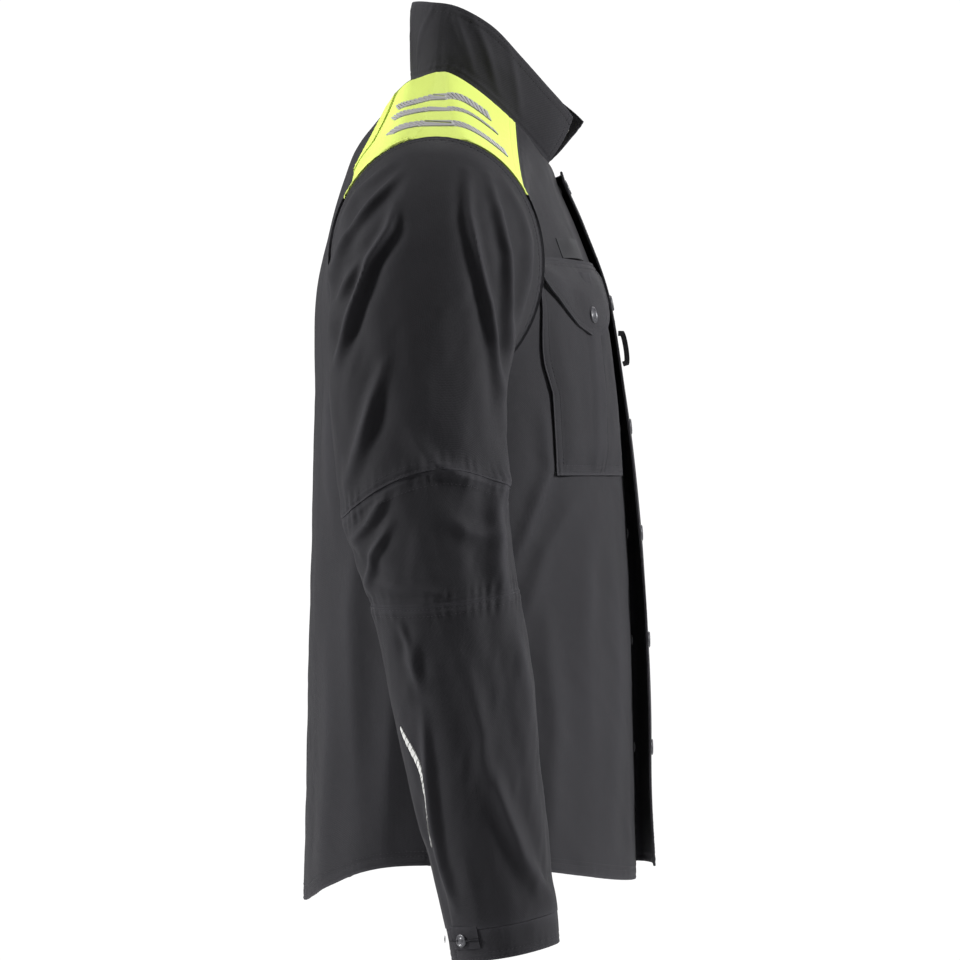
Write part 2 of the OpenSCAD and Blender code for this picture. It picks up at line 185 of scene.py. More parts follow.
def yoke_point(p, u, off):
    """Yoke: p is the angle round the neck from the back, u the share of the way to its edge."""
    p, u = np.broadcast_arrays(np.asarray(p, float), np.asarray(u, float))
    q = np.abs(p)
    back = q < 40
    rim_x = np.where(back, chest_half * q / 40, chest_half) * np.sign(p)
    rim_t = np.where(back, np.interp(np.abs(rim_x), *yoke_back_edge.T), mix(85, -87, (q - 40) / 97))
    neck_t = smooth(q, neck_route)
    return body_out(mix(neck_half * sind(p), rim_x, u), mix(neck_t, rim_t, u), off)


def collar_point(p, q, off):
    low = body_point(neck_half * sind(p), smooth(np.abs(p), neck_route)) + [0, 0, 0.8]
    top = xyz(72 * sind(p), smooth(np.abs(p), collar_edge, 1), smooth(np.abs(p), collar_edge, 2))
    out = unit(xyz(sind(p), cosd(p), 0.15))
    # The left half's front end reaches further forward than the right half's
    top = top - ease((np.asarray(p, float) - 110) / 65)[..., None] * [0, 10, 4]
    return mix(low, top, q[..., None]) + out * (off + 2 * sind(180 * q))[..., None]


def sleeve_point(v, a, off, k=1):
    """Sleeve: station v, angle a from the outer side towards the back; k is -1 on the right arm."""
    v, a = np.broadcast_arrays(np.asarray(v, float), np.asarray(a, float))
    xi, zi, xo, zo, y, depth, tilt, arch = (smooth(v, sleeve_route, i) for i in range(1, 9))
    inner, outer = xyz(xi, y, zi), xyz(xo, y, zo)
    reach = np.linalg.norm(outer - inner, axis=-1) / 2 + off
    s = sind(a)
    p = ((inner + outer) / 2 + (cosd(a) * reach)[..., None] * unit(outer - inner)
         + xyz(0, s * (depth / 2 + off), tilt * s + arch * s * s))
    return p * [k, 1, 1]


def pocket_spot(q, z, off):
    out = mix(52, 64, np.clip((z + 290) / 118, 0, 1))
    a = mix(12, out, q)
    return panel_out(a, front_t(a, z), off)


def flap_off(x, z):
    return 2 + mix(5, 11, ease((-220 - z) / 260)) * np.sqrt(np.clip((flap_seam_x - x) / 26, 0, 1))


def flap_point(x, z, off):
    t = front_t(angle_of(x), z)
    return body_out(x, t, off + flap_off(x, body_point(x, t)[..., 2]))


def on_zip(x, y, z):
    """Point of the zip's straight stretch, which leans back towards its top."""
    c, s = math.cos(zip_tilt), math.sin(zip_tilt)
    return zip_top + xyz(x, c * y + s * z, c * z - s * y)


# Cloth is drawn on grids of points: rows run down it, and columns across it.
def facing(p, centre, closed=False):
    """Unit normals of a grid, pointing away from centre, and the sign that turns them so."""
    if closed:
        ring = np.concatenate([p[:, -1:], p, p[:, :1]], 1)
        across = ring[:, 2:] - ring[:, :-2]
    else:
        across = np.gradient(p, axis=1)
    n = unit(np.cross(across, np.gradient(p, axis=0)))
    sign = np.sign(np.sum(n * (p - centre)))
    return n * sign, sign


def spans(p, axis):
    """Length along each row or column up to each point, in millimetres."""
    step = np.linalg.norm(np.diff(p, axis=axis), axis=-1)
    start = np.zeros_like(np.take(step, [0], axis=axis))
    return np.concatenate([start, np.cumsum(step, axis=axis)], axis=axis)


def steps(length, pitch, start=True, end=True):
    """Shares from 0 to 1 along a length, closely spaced near its sewn ends."""
    near = np.array([0, 0.7, 1.6, 2.4, 3.2, 4.4, 5.8, 7.2, 8.6, 10.4])
    first = near if start else near[:1]
    last = length - (near if end else near[:1])[::-1]
    count = max(2, int((last[0] - first[-1]) / pitch))
    return np.concatenate([first, np.linspace(first[-1], last[0], count + 1)[1:-1], last]) / length


def wrinkle(u, v, across, along, seed):
    """Smooth random height from -1 to 1, whose bumps are that wide and that long."""
    lattice = np.random.RandomState(seed).uniform(-1, 1, (67, 67))
    x, y = u / across, v / along
    i, j = np.floor(x).astype(int), np.floor(y).astype(int)
    p, q = ease(x - i), ease(y - j)
    i, j = i % 66, j % 66
    low = mix(lattice[i, j], lattice[i + 1, j], p)
    return mix(low, mix(lattice[i, j + 1], lattice[i + 1, j + 1], p), q)


def fold(y, z, line, width, height):
    """A ridge along a line of (Y, Z) points with a shallow valley beside it, fading at both ends."""
    points = np.array(line, float)
    near, share = np.full(y.shape, 1e9), np.zeros(y.shape)
    for i, (a, b) in enumerate(zip(points, points[1:])):
        d = b - a
        q = np.clip(((y - a[0]) * d[0] + (z - a[1]) * d[1]) / (d @ d), 0, 1)
        away = np.hypot(y - a[0] - q * d[0], z - a[1] - q * d[1])
        share = np.where(away < near, (i + q) / (len(points) - 1), share)
        near = np.minimum(away, near)
    taper = np.sin(np.pi * np.clip(share, 0.03, 0.97)) ** 0.6
    crest = np.exp(-(near / width) ** 1.7) - 0.45 * np.exp(-(near / (2.3 * width)) ** 2)
    return height * taper * crest


def borders(p, closed=False):
    """Distance of each grid point from the top, bottom, left and right edges."""
    down, across = spans(p, 0), spans(p, 1)
    far = np.full(down.shape, 999.0)
    left, right = (far, far) if closed else (across, across[:, -1:] - across)
    return {"top": down, "bottom": down[-1:] - down, "left": left, "right": right}


def sewn(p, sides, closed=False, rows=(2.4, 8.6), pucker=0.5, pitch=7.0):
    """Height of sewn edges: a groove under each row of stitches, and small puckers beside it."""
    edge = borders(p, closed)
    h = np.zeros(p.shape[:2])
    for side in sides:
        d = edge[side]
        run = edge["left"] if side in ("top", "bottom") and not closed else edge["top"]
        if closed:
            run = spans(p, 1)
        for row in rows:
            h -= 0.38 * np.exp(-((d - row) / 0.9) ** 2)
        wave = np.sin(run * 2 * np.pi / pitch + 2.2 * wrinkle(run, d, 31, 60, 5))
        h += pucker * wave * wrinkle(run + 40, d, 23, 40, 8) * np.exp(-((d - 7) / 6.5) ** 2)
    return h


def mesh_object(name, verts, faces, uv=None, material=None, sharp=40):
    mesh = bpy.data.meshes.new(name)
    mesh.from_pydata((np.asarray(verts) / 1000).tolist(), [], np.asarray(faces).tolist()
                     if isinstance(faces, np.ndarray) else faces)
    if uv is not None:
        layer = mesh.uv_layers.new(name="UVMap")
        layer.data.foreach_set("uv", (uv / 1000).astype(np.float32).ravel())
    mesh.polygons.foreach_set("use_smooth", [True] * len(mesh.polygons))
    mesh.set_sharp_from_angle(angle=math.radians(sharp))
    if material:
        mesh.materials.append(material)
    mesh.update()
    obj = bpy.data.objects.new(name, mesh)
    bpy.context.scene.collection.objects.link(obj)
    return obj


def shell(name, p, thick, centre, material, closed=False, wear_and_highlight=None):
    """A closed sheet of cloth on a grid of points, with its UV map in metres, its edges for wear, and its
    fold heights for crests paled by wear and by a painted highlight.
    """
    n, sign = facing(p, centre, closed)
    rows, cols = p.shape[:2]
    width = cols if closed else cols - 1
    i, j = (g.ravel() for g in np.meshgrid(np.arange(rows - 1), np.arange(width), indexing="ij"))
    corners = np.array([[0, 0], [1, 0], [1, 1], [0, 1]])
    quad_i, quad_j = i[:, None] + corners[:, 0], j[:, None] + corners[:, 1]
    top, size = quad_i * cols + quad_j % cols, rows * cols
    grid_u, grid_v = spans(p, 1), spans(p, 0)
    if closed:
        grid_u = np.concatenate([grid_u, grid_u[:, -1:] + grid_u[:, 1:2]], 1)
        grid_v = np.concatenate([grid_v, grid_v[:, :1]], 1)
    uv = np.stack([grid_u, grid_v], -1)
    top_uv = uv[quad_i, quad_j]
    rims, rim_uv = [], []

    def rim(a, b):
        """Joins two neighbours on the outer face's edge to the same two on the inner face."""
        va, vb = a[0] * cols + a[1] % cols, b[0] * cols + b[1] % cols
        rims.append([va, vb, vb + size, va + size])
        rim_uv.append([uv[a], uv[b], uv[b] + [0, thick], uv[a] + [0, thick]])

    for k in range(width):
        rim((0, k), (0, k + 1))
        rim((rows - 1, k + 1), (rows - 1, k))
    if not closed:
        for k in range(rows - 1):
            rim((k + 1, 0), (k, 0))
            rim((k, cols - 1), (k + 1, cols - 1))
    faces = np.concatenate([top, top[:, ::-1] + size, np.array(rims)])
    face_uv = np.concatenate([top_uv, top_uv[:, ::-1], np.array(rim_uv)])
    # The quads' own normal is the cross product of down and across, opposite to facing()'s.
    if sign > 0:
        faces, face_uv = faces[:, ::-1], face_uv[:, ::-1]
    verts = np.concatenate([p.reshape(-1, 3), (p - thick * n).reshape(-1, 3)])
    obj = mesh_object(name, verts, faces, face_uv.reshape(-1, 2), material)
    edge = borders(p, closed)
    close = np.exp(-np.minimum.reduce(list(edge.values())) / 3.5)
    wear_and_highlight = np.zeros((rows, cols)) if wear_and_highlight is None else np.clip(wear_and_highlight / 8, -1, 1)
    # The ridge attribute pales fold crests, partly as wear and partly as a painted highlight.
    for key, value in (("edge", close), ("ridge", wear_and_highlight)):
        data = obj.data.attributes.new(key, "FLOAT", "POINT")
        data.data.foreach_set("value", np.concatenate([value.ravel()] * 2).astype(np.float32))
    return obj


def follow(p, centre, side, inset, closed=False, part=(0, 1)):
    """Points and normals along a line on a grid, at a set distance from one of its edges."""
    n = facing(p, centre, closed)[0]
    both = np.concatenate([p, n], -1)
    if side in ("left", "right"):
        both = both.transpose(1, 0, 2)
    if side in ("bottom", "right"):
        both = both[::-1]
    down = spans(both[..., :3], 0)
    line = np.array([[np.interp(inset, down[:, k], both[:, k, c]) for c in range(6)]
                     for k in range(both.shape[1])])
    if closed:
        line = np.concatenate([line, line[:1]])
    run = spans(line[:, None, :3], 0)[:, 0]
    keep = (run >= part[0] * run[-1]) & (run <= part[1] * run[-1])
    return line[keep]


class Thread:
    """Stitches gathered from many seams into one mesh."""

    def __init__(self):
        self.verts, self.faces = [], []

    def sew(self, line, pitch=3.4, length=2.3):
        wide, high = 0.52, 0.34
        points, normal = line[:, :3], line[:, 3:]
        run = spans(points[:, None], 0)[:, 0]
        for middle in np.arange(pitch / 2, run[-1] - pitch / 2, pitch):
            a, b, m = (np.array([np.interp(s, run, points[:, c]) for c in range(3)])
                       for s in (middle - length / 2, middle + length / 2, middle))
            up = unit(np.array([np.interp(middle, run, normal[:, c]) for c in range(3)]))
            side = unit(np.cross(b - a, up)) * wide / 2
            first = len(self.verts)
            q, r = mix(a, b, 0.22), mix(a, b, 0.78)
            lift = up * high
            self.verts += [a - up * 0.2, q + side, q + lift, q - side, r + side, r + lift, r - side,
                           b - up * 0.2]
            self.faces += [[first + c for c in f] for f in (
                (0, 2, 1), (0, 3, 2), (1, 2, 5, 4), (2, 3, 6, 5), (4, 5, 7), (5, 6, 7),
                (0, 1, 4, 7), (0, 7, 6, 3))]
        return self

    def sew_edges(self, p, centre, sides, insets, closed=False, part=(0, 1)):
        """A row of stitches at each inset from each of the named edges."""
        for side in sides:
            for inset in insets:
                self.sew(follow(p, centre, side, inset, closed, part))
        return self

    def make(self, name, material):
        return mesh_object(name, self.verts, self.faces, None, material, 80)


def turned(name, profile_points, spots, material, scale=1.0):
    """A round part turned about each spot's normal: one closed mesh for all of the spots."""
    sides = 40
    outline = np.array(profile_points, float) * scale
    angle = np.radians(np.arange(sides) * 360 / sides)
    verts, faces = [], []
    for point, normal in spots:
        u = unit(np.cross(normal, [0.1, 0.2, 1.0]))
        w = np.cross(normal, u)
        first = len(verts)
        for r, h in outline[:-1]:
            ring = np.cos(angle)[:, None] * u + np.sin(angle)[:, None] * w
            verts += list(point + r * ring + h * normal)
        verts.append(point + outline[-1, 1] * normal)
        rings = len(outline) - 1
        for k in range(rings - 1):
            for s in range(sides):
                e = (s + 1) % sides
                a, b = first + k * sides, first + (k + 1) * sides
                faces.append([a + s, a + e, b + e, b + s])
        tip, last = len(verts) - 1, first + (rings - 1) * sides
        faces += [[last + s, last + (s + 1) % sides, tip] for s in range(sides)]
        faces.append([first + s for s in range(sides)][::-1])
    return mesh_object(name, verts, faces, None, material, 50)


def place(obj, body, slot, *nodes):
    """The piece rides on a body and stands for the nodes, whose CAD parts are hidden; slot is not used."""
    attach(obj, body)
    if nodes:
        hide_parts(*nodes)
    return obj


def bend(obj, bodies, start, end, slot, *nodes):
    """Bakes the piece's placement into its mesh and hides the nodes' CAD parts; bodies, slot, and start and
    end (in metres) are not used.
    """
    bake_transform(obj)
    if nodes:
        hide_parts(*nodes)
    return obj


def cut(plain, closed=False):
    """Works out the size and area that a panel's unfolded grid has as a sheet of cloth; nothing uses them.
    """
    across, down = spans(plain, 1)[:, -1], spans(plain, 0)[-1]
    if closed:
        across = across + np.linalg.norm(plain[:, 0] - plain[:, -1], axis=-1)
        plain = np.concatenate([plain, plain[:, :1]], 1)
    a, b = plain[1:, 1:] - plain[:-1, :-1], plain[1:, :-1] - plain[:-1, 1:]
    area = float(np.linalg.norm(np.cross(a, b), axis=-1).sum()) / 2e6
    flat = (float(across.max()) / 1000, float(down.max()) / 1000)
    area = min(max(area, 0.3 * flat[0] * flat[1]), flat[0] * flat[1])


# Materials
class Nodes:
    """A new material's node tree, with short calls to add and join nodes."""

    def __init__(self, name, color, roughness, metallic=0.0, sheen=0.0, **sockets):
        self.material = bpy.data.materials.new(name)
        self.material.use_nodes = True
        self.tree = self.material.node_tree
        self.shader = self.tree.nodes["Principled BSDF"]
        self.shader.inputs["Base Color"].default_value = (*color, 1)
        self.shader.inputs["Roughness"].default_value = roughness
        self.shader.inputs["Metallic"].default_value = metallic
        self.shader.inputs["Sheen Weight"].default_value = sheen
        self.shader.inputs["Sheen Roughness"].default_value = 0.45
        for key, value in sockets.items():
            self.shader.inputs[key.replace("_", " ")].default_value = value

    def add(self, kind, **settings):
        node = self.tree.nodes.new("ShaderNode" + kind)
        for key, value in settings.items():
            if hasattr(node, key):
                setattr(node, key, value)
            else:
                node.inputs[key.replace("_", " ")].default_value = value
        return node

    def join(self, out, node, key):
        self.tree.links.new(out, node.inputs[key])

    def math(self, operation, a, b):
        node = self.add("Math", operation=operation)
        for i, value in enumerate((a, b)):
            if isinstance(value, (int, float)):
                node.inputs[i].default_value = value
            else:
                self.join(value, node, i)
        return node.outputs[0]

    def blend(self, share, a, b):
        node = self.add("MixRGB", blend_type="MIX")
        for key, value in (("Fac", share), ("Color1", a), ("Color2", b)):
            if isinstance(value, (int, float)):
                node.inputs[key].default_value = value
            elif isinstance(value, tuple):
                node.inputs[key].default_value = (*value, 1)
            else:
                self.join(value, node, key)
        return node.outputs[0]

    def noise(self, coords, scale, detail=3.0):
        node = self.add("TexNoise", Scale=scale, Detail=detail)
        self.join(coords, node, "Vector")
        return node.outputs[0]

    def bump(self, height, strength, distance, after=None):
        node = self.add("Bump", Strength=strength, Distance=distance)
        self.join(height, node, "Height")
        if after:
            self.join(after, node, "Normal")
        self.join(node.outputs[0], self.shader, "Normal")
        return node.outputs[0]


def woven(name, color, pale, yarn=0.0011, sheen=0.3, wear_and_highlight=0.55, mottle=0.3):
    """Twill cloth: yarns in two directions, uneven dye, paler worn edges, and fold crests paled partly by
    wear and partly as a painted highlight.
    """
    roughness = 0.82
    m = Nodes(name, color, roughness, sheen=sheen, Specular_IOR_Level=0.2)
    coords = m.add("TexCoord")
    uv, place_ = coords.outputs["UV"], coords.outputs["Object"]
    turn = m.add("Mapping")
    turn.inputs["Rotation"].default_value = (0, 0, math.radians(63))
    m.join(uv, turn, "Vector")
    bands = []
    for vector, size in ((uv, yarn), (turn.outputs[0], yarn * 1.3)):
        wave = m.add("TexWave", Scale=2 * math.pi / (20 * size), Distortion=1.2, bands_direction="X")
        wave.inputs["Detail Scale"].default_value = 3
        m.join(vector, wave, "Vector")
        bands.append(wave.outputs["Color"])
    weave = m.math("MULTIPLY", bands[0], bands[1])
    cloudy = m.noise(place_, 9, 5)
    grainy = m.noise(place_, 420, 2)
    ramp = m.add("ValToRGB")
    ramp.color_ramp.elements[0].position, ramp.color_ramp.elements[1].position = 0.3, 0.72
    m.join(cloudy, ramp, "Fac")
    darker = tuple(c * (1 - mottle) for c in color)
    shade = m.blend(ramp.outputs[0], darker, color)
    shade = m.blend(m.math("MULTIPLY", grainy, 0.16), shade, pale)
    shade = m.blend(m.math("MULTIPLY", weave, 0.22), shade, pale)
    worn = m.add("Attribute", attribute_name="edge")
    worn_share = m.math("MULTIPLY", m.math("MULTIPLY", worn.outputs["Fac"], grainy), wear_and_highlight)
    shade = m.blend(worn_share, shade, pale)
    # Fold crests are paled: partly wear, partly a painted highlight where light would catch the ridges.
    crest = m.add("Attribute", attribute_name="ridge")
    crest_share = m.math("MULTIPLY", m.math("MAXIMUM", crest.outputs["Fac"], 0.0), wear_and_highlight * 0.5)
    shade = m.blend(crest_share, shade, pale)
    m.join(shade, m.shader, "Base Color")
    m.join(m.math("ADD", m.math("MULTIPLY", grainy, 0.16), roughness - 0.08), m.shader, "Roughness")
    fine = m.bump(weave, 0.55, 0.00022)
    crumple = m.noise(place_, 95, 3)
    m.bump(crumple, 0.35, 0.0009, fine)
    return m.material


def finished(name, color, roughness, metallic, scale, strength, pale, **sockets):
    """Metal or moulded finish with fine pits, uneven roughness and rubbed spots."""
    m = Nodes(name, color, roughness, metallic, **sockets)
    place_ = m.add("TexCoord").outputs["Object"]
    pits, spots = m.noise(place_, scale, 4), m.noise(place_, scale / 6, 3)
    m.join(m.blend(m.math("MULTIPLY", spots, 0.5), color, pale), m.shader, "Base Color")
    m.join(m.math("ADD", m.math("MULTIPLY", pits, 0.25), roughness - 0.12), m.shader, "Roughness")
    m.bump(pits, strength, 0.0001)
    return m.material


def film_material(name, color, scuffed):
    """Retroreflective film: a fine honeycomb under a clear face, scuffed in places."""
    m = Nodes(name, color, 0.5, 0.1)
    coords = m.add("TexCoord").outputs["Object"]
    cells = m.add("TexVoronoi", Scale=620.0, feature="DISTANCE_TO_EDGE")
    m.join(coords, cells, "Vector")
    scuffs = m.noise(coords, 60, 5)
    walls = m.math("LESS_THAN", cells.outputs["Distance"], 0.06)
    shade = m.blend(m.math("MULTIPLY", walls, 0.35), color, tuple(c * 0.62 for c in color))
    m.join(m.blend(m.math("MULTIPLY", scuffs, 0.4), shade, scuffed), m.shader, "Base Color")
    m.join(m.math("ADD", m.math("MULTIPLY", scuffs, 0.3), 0.38), m.shader, "Roughness")
    m.bump(cells.outputs["Distance"], 0.25, 0.0001)
    return m.material


black = woven("black_cloth", (0.0078, 0.0075, 0.0095), (0.034, 0.033, 0.039), sheen=0.02)
lining = woven("lining_cloth", (0.007, 0.0068, 0.0085), (0.03, 0.029, 0.034), yarn=0.0009, sheen=0.02)
yellow = woven("yellow_cloth", (0.46, 0.56, 0.095), (0.60, 0.68, 0.22), yarn=0.0007, sheen=0.05,
               wear_and_highlight=0.3, mottle=0.10)
webbing = woven("webbing", (0.008, 0.008, 0.0095), (0.04, 0.04, 0.044), yarn=0.0016, sheen=0.03)
stitching = woven("stitching", (0.022, 0.021, 0.025), (0.06, 0.058, 0.066), yarn=0.0004, sheen=0.05)
piping_edge = woven("yellow_thread", (0.60, 0.70, 0.10), (0.80, 0.88, 0.30), yarn=0.0004)
film = film_material("reflective_film", (0.25, 0.245, 0.25), (0.36, 0.355, 0.36))
piping_film = film_material("piping_film", (0.40, 0.40, 0.39), (0.55, 0.55, 0.53))
zip_metal = finished("zip_metal", (0.33, 0.32, 0.30), 0.38, 0.95, 900, 0.3, (0.50, 0.48, 0.44))
snap_metal = finished("snap_metal", (0.020, 0.020, 0.024), 0.42, 0.2, 1400, 0.2, (0.05, 0.05, 0.06),
                      Coat_Weight=0.12)


# Body panels
chest = np.array([0.0, mid_y, -330.0])
panel_cloth = 1.5
double_row, hem_rows = (2.4, 8.6), (8.6, 12.5)
body_folds = [  # lines of (Y, Z) on the side of the body, then width and height
    ([(-118, -300), (-124, -357), (-108, -400), (-91, -445)], 9, 3.0),
    ([(-150, -380), (-120, -430), (-98, -500)], 12, 2.4),
    ([(-165, -400), (-158, -500), (-165, -620)], 16, 2.2),
    ([(-120, -470), (-130, -580), (-124, -700)], 15, 2.6),
    ([(-88, -480), (-92, -600), (-86, -690)], 13, 2.2),
    ([(-184, -420), (-188, -560), (-182, -690)], 12, 1.5)]
back_folds = [
    ([(62, -230), (70, -330), (66, -430)], 12, 3.2), ([(84, -300), (82, -420), (88, -560)], 11, 2.4),
    ([(40, -380), (52, -480), (46, -640)], 15, 2.8), ([(74, -460), (70, -590), (78, -720)], 12, 2.4),
    ([(20, -400), (10, -520), (22, -700)], 16, 2.4)]


def body_height(p, seed, lines):
    """Height of the folds and creases of a body panel; it dies away near the armholes."""
    x, y, z = p[..., 0], p[..., 1], p[..., 2]
    run = np.degrees(np.arctan2(x, -(y - mid_y))) * 3.2
    h = 1.6 * wrinkle(run + 700, z + 900, 46, 210, seed)
    h += 0.8 * wrinkle(run + 700, z + 900, 21, 74, seed + 1)
    h += 0.45 * wrinkle(run * 0.8 + z * 0.6 + 1500, z - run * 0.5 + 1500, 12, 40, seed + 2)
    h *= mix(0.55, 1, ease((-230 - z) / 260))
    for line, width, height in lines:
        h += 2.4 * fold(y + 3 * np.sign(x), z, line, 0.8 * width, height) * ease((np.abs(x) - 40) / 60)
    armhole = ease((np.abs(x) - 170) / 50) * ease((z + 330) / 40)
    return h * (1 - armhole)


def panel(name, angles, tops, lows, rows, seed, lines, sides):
    """A body panel from its top edge to its hem: the piece, its grid, and the grid before folds."""
    share = rows[:, None]
    t = mix(np.asarray(tops)[None], np.asarray(lows)[None], share)
    plain = panel_out(np.broadcast_to(angles, t.shape), t, np.zeros(t.shape))
    n = facing(plain, chest)[0]
    h = body_height(plain, seed, lines)
    free = np.minimum.reduce([borders(plain)[s] for s in ("top", "left", "right")])
    h = h * ease(free / 22) + sewn(plain, sides)
    p = plain + h[..., None] * n
    obj = shell(name, p, panel_cloth, chest, black, wear_and_highlight=h)
    return obj, p, plain


rows_body = steps(650, 4.2)
columns = steps(700, 5.0)
back_angles = mix(-89.9995, 89.9995, columns)
back_tops = np.interp(chest_half * np.abs(sind(back_angles)) ** (2 / 3), *yoke_back_edge.T) + 0.6
back_lows = back_t(back_angles, mix(-back_length, -side_length, sind(back_angles) ** 2))
back, back_p, back_plain = panel("back_panel_cloth", back_angles, back_tops, back_lows, rows_body, 11,
                                 back_folds, ("top", "bottom", "left", "right"))
place(back, "torso", "black_cloth", "back_panel")
cut(back_plain)
torso_thread = Thread()
torso_thread.sew_edges(back_p, chest, ("top",), double_row, part=(0.13, 0.87))
torso_thread.sew_edges(back_p, chest, ("bottom",), hem_rows)

front_p = {}
for side, k in SIDES:
    share = steps(330, 4.4)
    angles = mix(2.28, 89.99, share)
    x = chest_half * sind(angles)
    neck_angle = 180 - np.degrees(np.arcsin(np.minimum(1, x / neck_half)))
    tops = np.where(x < neck_half * sind(137), smooth(neck_angle, neck_route), -87.2) - 0.2
    lows = front_t(angles, mix(-front_length, -side_length, sind(angles) ** 2))
    obj, p, plain = panel(f"front_panel_{side}_cloth", angles * k, tops, lows, rows_body, 30 + k,
                          body_folds, ("top", "bottom", "left", "right"))
    front_p[side] = p
    place(obj, "torso", "black_cloth", f"front_panel_{side}")
    cut(plain)
    torso_thread.sew_edges(p, chest, ("bottom",), hem_rows)
    torso_thread.sew(follow(p, chest, "left", 3.2)).sew(follow(p, chest, "right", 2.4, part=(0.45, 1)))
    torso_thread.sew(follow(p, chest, "top", 2.4, part=(0.3, 0.95)))
    # The facing folded back inside the front edge
    facing_angles = mix(2.5, 13.5, steps(46, 5, False, True))
    facing_lows = front_t(facing_angles, np.full(facing_angles.shape, 16.0 - front_length))
    facing_tops = np.interp(facing_angles, angles, tops) - 12
    t = mix(facing_tops[None], facing_lows[None], steps(600, 9)[:, None])
    inner = panel_out(np.broadcast_to(facing_angles * k, t.shape), t, np.full(t.shape, -3.6))
    ripples = 0.3 * wrinkle(inner[..., 0] + 300, inner[..., 2] + 900, 30, 90, 3)
    inner = inner + ripples[..., None] * [0, 1, 0]
    lap = shell(f"front_facing_{side}_cloth", inner, 1.0, chest, lining)
    place(lap, "torso", "lining_cloth", f"front_facing_{side}")
    cut(inner)

# Yoke: from the neck seam over both shoulders, on more columns where its back edge steps down
p_share = np.unique(np.concatenate([np.linspace(-137, 137, 241), np.arange(23.3, 25, 0.15),
                                    -np.arange(23.3, 25, 0.15)]))
u_share = steps(175, 4.0)
pp, uu = np.meshgrid(p_share, u_share)
yoke_plain = yoke_point(pp, uu, np.zeros(pp.shape))
yoke_n = facing(yoke_plain, chest)[0]


def yoke_height(p, u):
    bumps = 0.9 * wrinkle(p * 2 + 500, u * 160 + 50, 34, 60, 71) * np.sin(np.pi * u)
    return mix(1.0, 0.25, ease((np.abs(p) - 40) / 10)) * bumps + 0.25


yoke_h = yoke_height(pp, uu) + sewn(yoke_plain, ("bottom", "left", "right"), rows=(2.4, 7.4), pucker=0.35)
yoke_p = yoke_plain + yoke_h[..., None] * yoke_n
yoke = shell("shoulder_yoke_cloth", yoke_p, 1.4, chest, yellow, wear_and_highlight=yoke_h)
place(yoke, "torso", "yellow_cloth", "shoulder_yoke")
cut(yoke_plain)
yellow_thread = Thread()
for inset in (2.4, 7.4):
    yellow_thread.sew(follow(yoke_p, chest, "bottom", inset))
    for edge_side in ("left", "right"):
        yellow_thread.sew(follow(yoke_p, chest, edge_side, inset))
place(yellow_thread.make("yoke_stitching", piping_edge), "torso", "yellow_cloth")

# Stripes: slanted pieces of reflective film in three rows on each shoulder
# Each stripe: angles round the neck, its share of the way down there, and half widths at both ends.
stripe_rows = (
    ((50, 66, 82, 98, 119), (0.40, 0.42, 0.39, 0.31, 0.325), 0.040, 0.052),
    ((53, 70, 84, 101, 123), (0.53, 0.57, 0.57, 0.49, 0.49), 0.042, 0.014),
    ((60, 74, 83, 99, 128), (0.76, 0.79, 0.79, 0.73, 0.68), 0.044, 0.034))
for side, k in SIDES:
    verts, faces = [], []
    for line_p, line_u, back_half, front_half in stripe_rows:
        count, start, reach = 20, line_p[0] + 2.0, line_p[-1] - line_p[0] - 4.0
        for s in range(count):
            low, high = start + reach * s / count, start + reach * (s + 0.74) / count
            grid = {}
            for level, off in (("top", 1.1), ("base", -0.8)):
                for i, w in enumerate((-1, -0.33, 0.33, 1)):
                    for j, q in enumerate((0, 0.5, 1)):
                        p_angle = mix(low, high, q) + mix(4.8, 1.0, s / count) * w
                        middle = smooth(p_angle, np.array([line_p, line_u], float).T)
                        half = mix(back_half, front_half, ease((p_angle - start) / reach))
                        across_at = middle + half * w * (0.95 if level == "top" else 1.0)
                        height = off + float(yoke_height(p_angle * k, across_at))
                        grid[level, i, j] = yoke_point(p_angle * k, across_at, height)
            first = len(verts)
            keys = list(grid)
            verts += [grid[key] for key in keys]
            at = {key: first + i for i, key in enumerate(keys)}
            for i in range(3):
                for j in range(2):
                    for level, order in (("top", 1), ("base", -1)):
                        quad = [at[level, i, j], at[level, i + 1, j], at[level, i + 1, j + 1],
                                at[level, i, j + 1]]
                        faces.append(quad[::order * k])
            ring = [(0, 0), (1, 0), (2, 0), (3, 0), (3, 1), (3, 2), (2, 2), (1, 2), (0, 2), (0, 1)]
            for a, b in zip(ring, ring[1:] + ring[:1]):
                quad = [at["base", *a], at["base", *b], at["top", *b], at["top", *a]]
                faces.append(quad[::k])
    strip = mesh_object(f"yoke_stripes_{side}_film", verts, faces, None, film, 35)
    place(strip, "torso", "reflective_film", f"yoke_stripes_{side}")


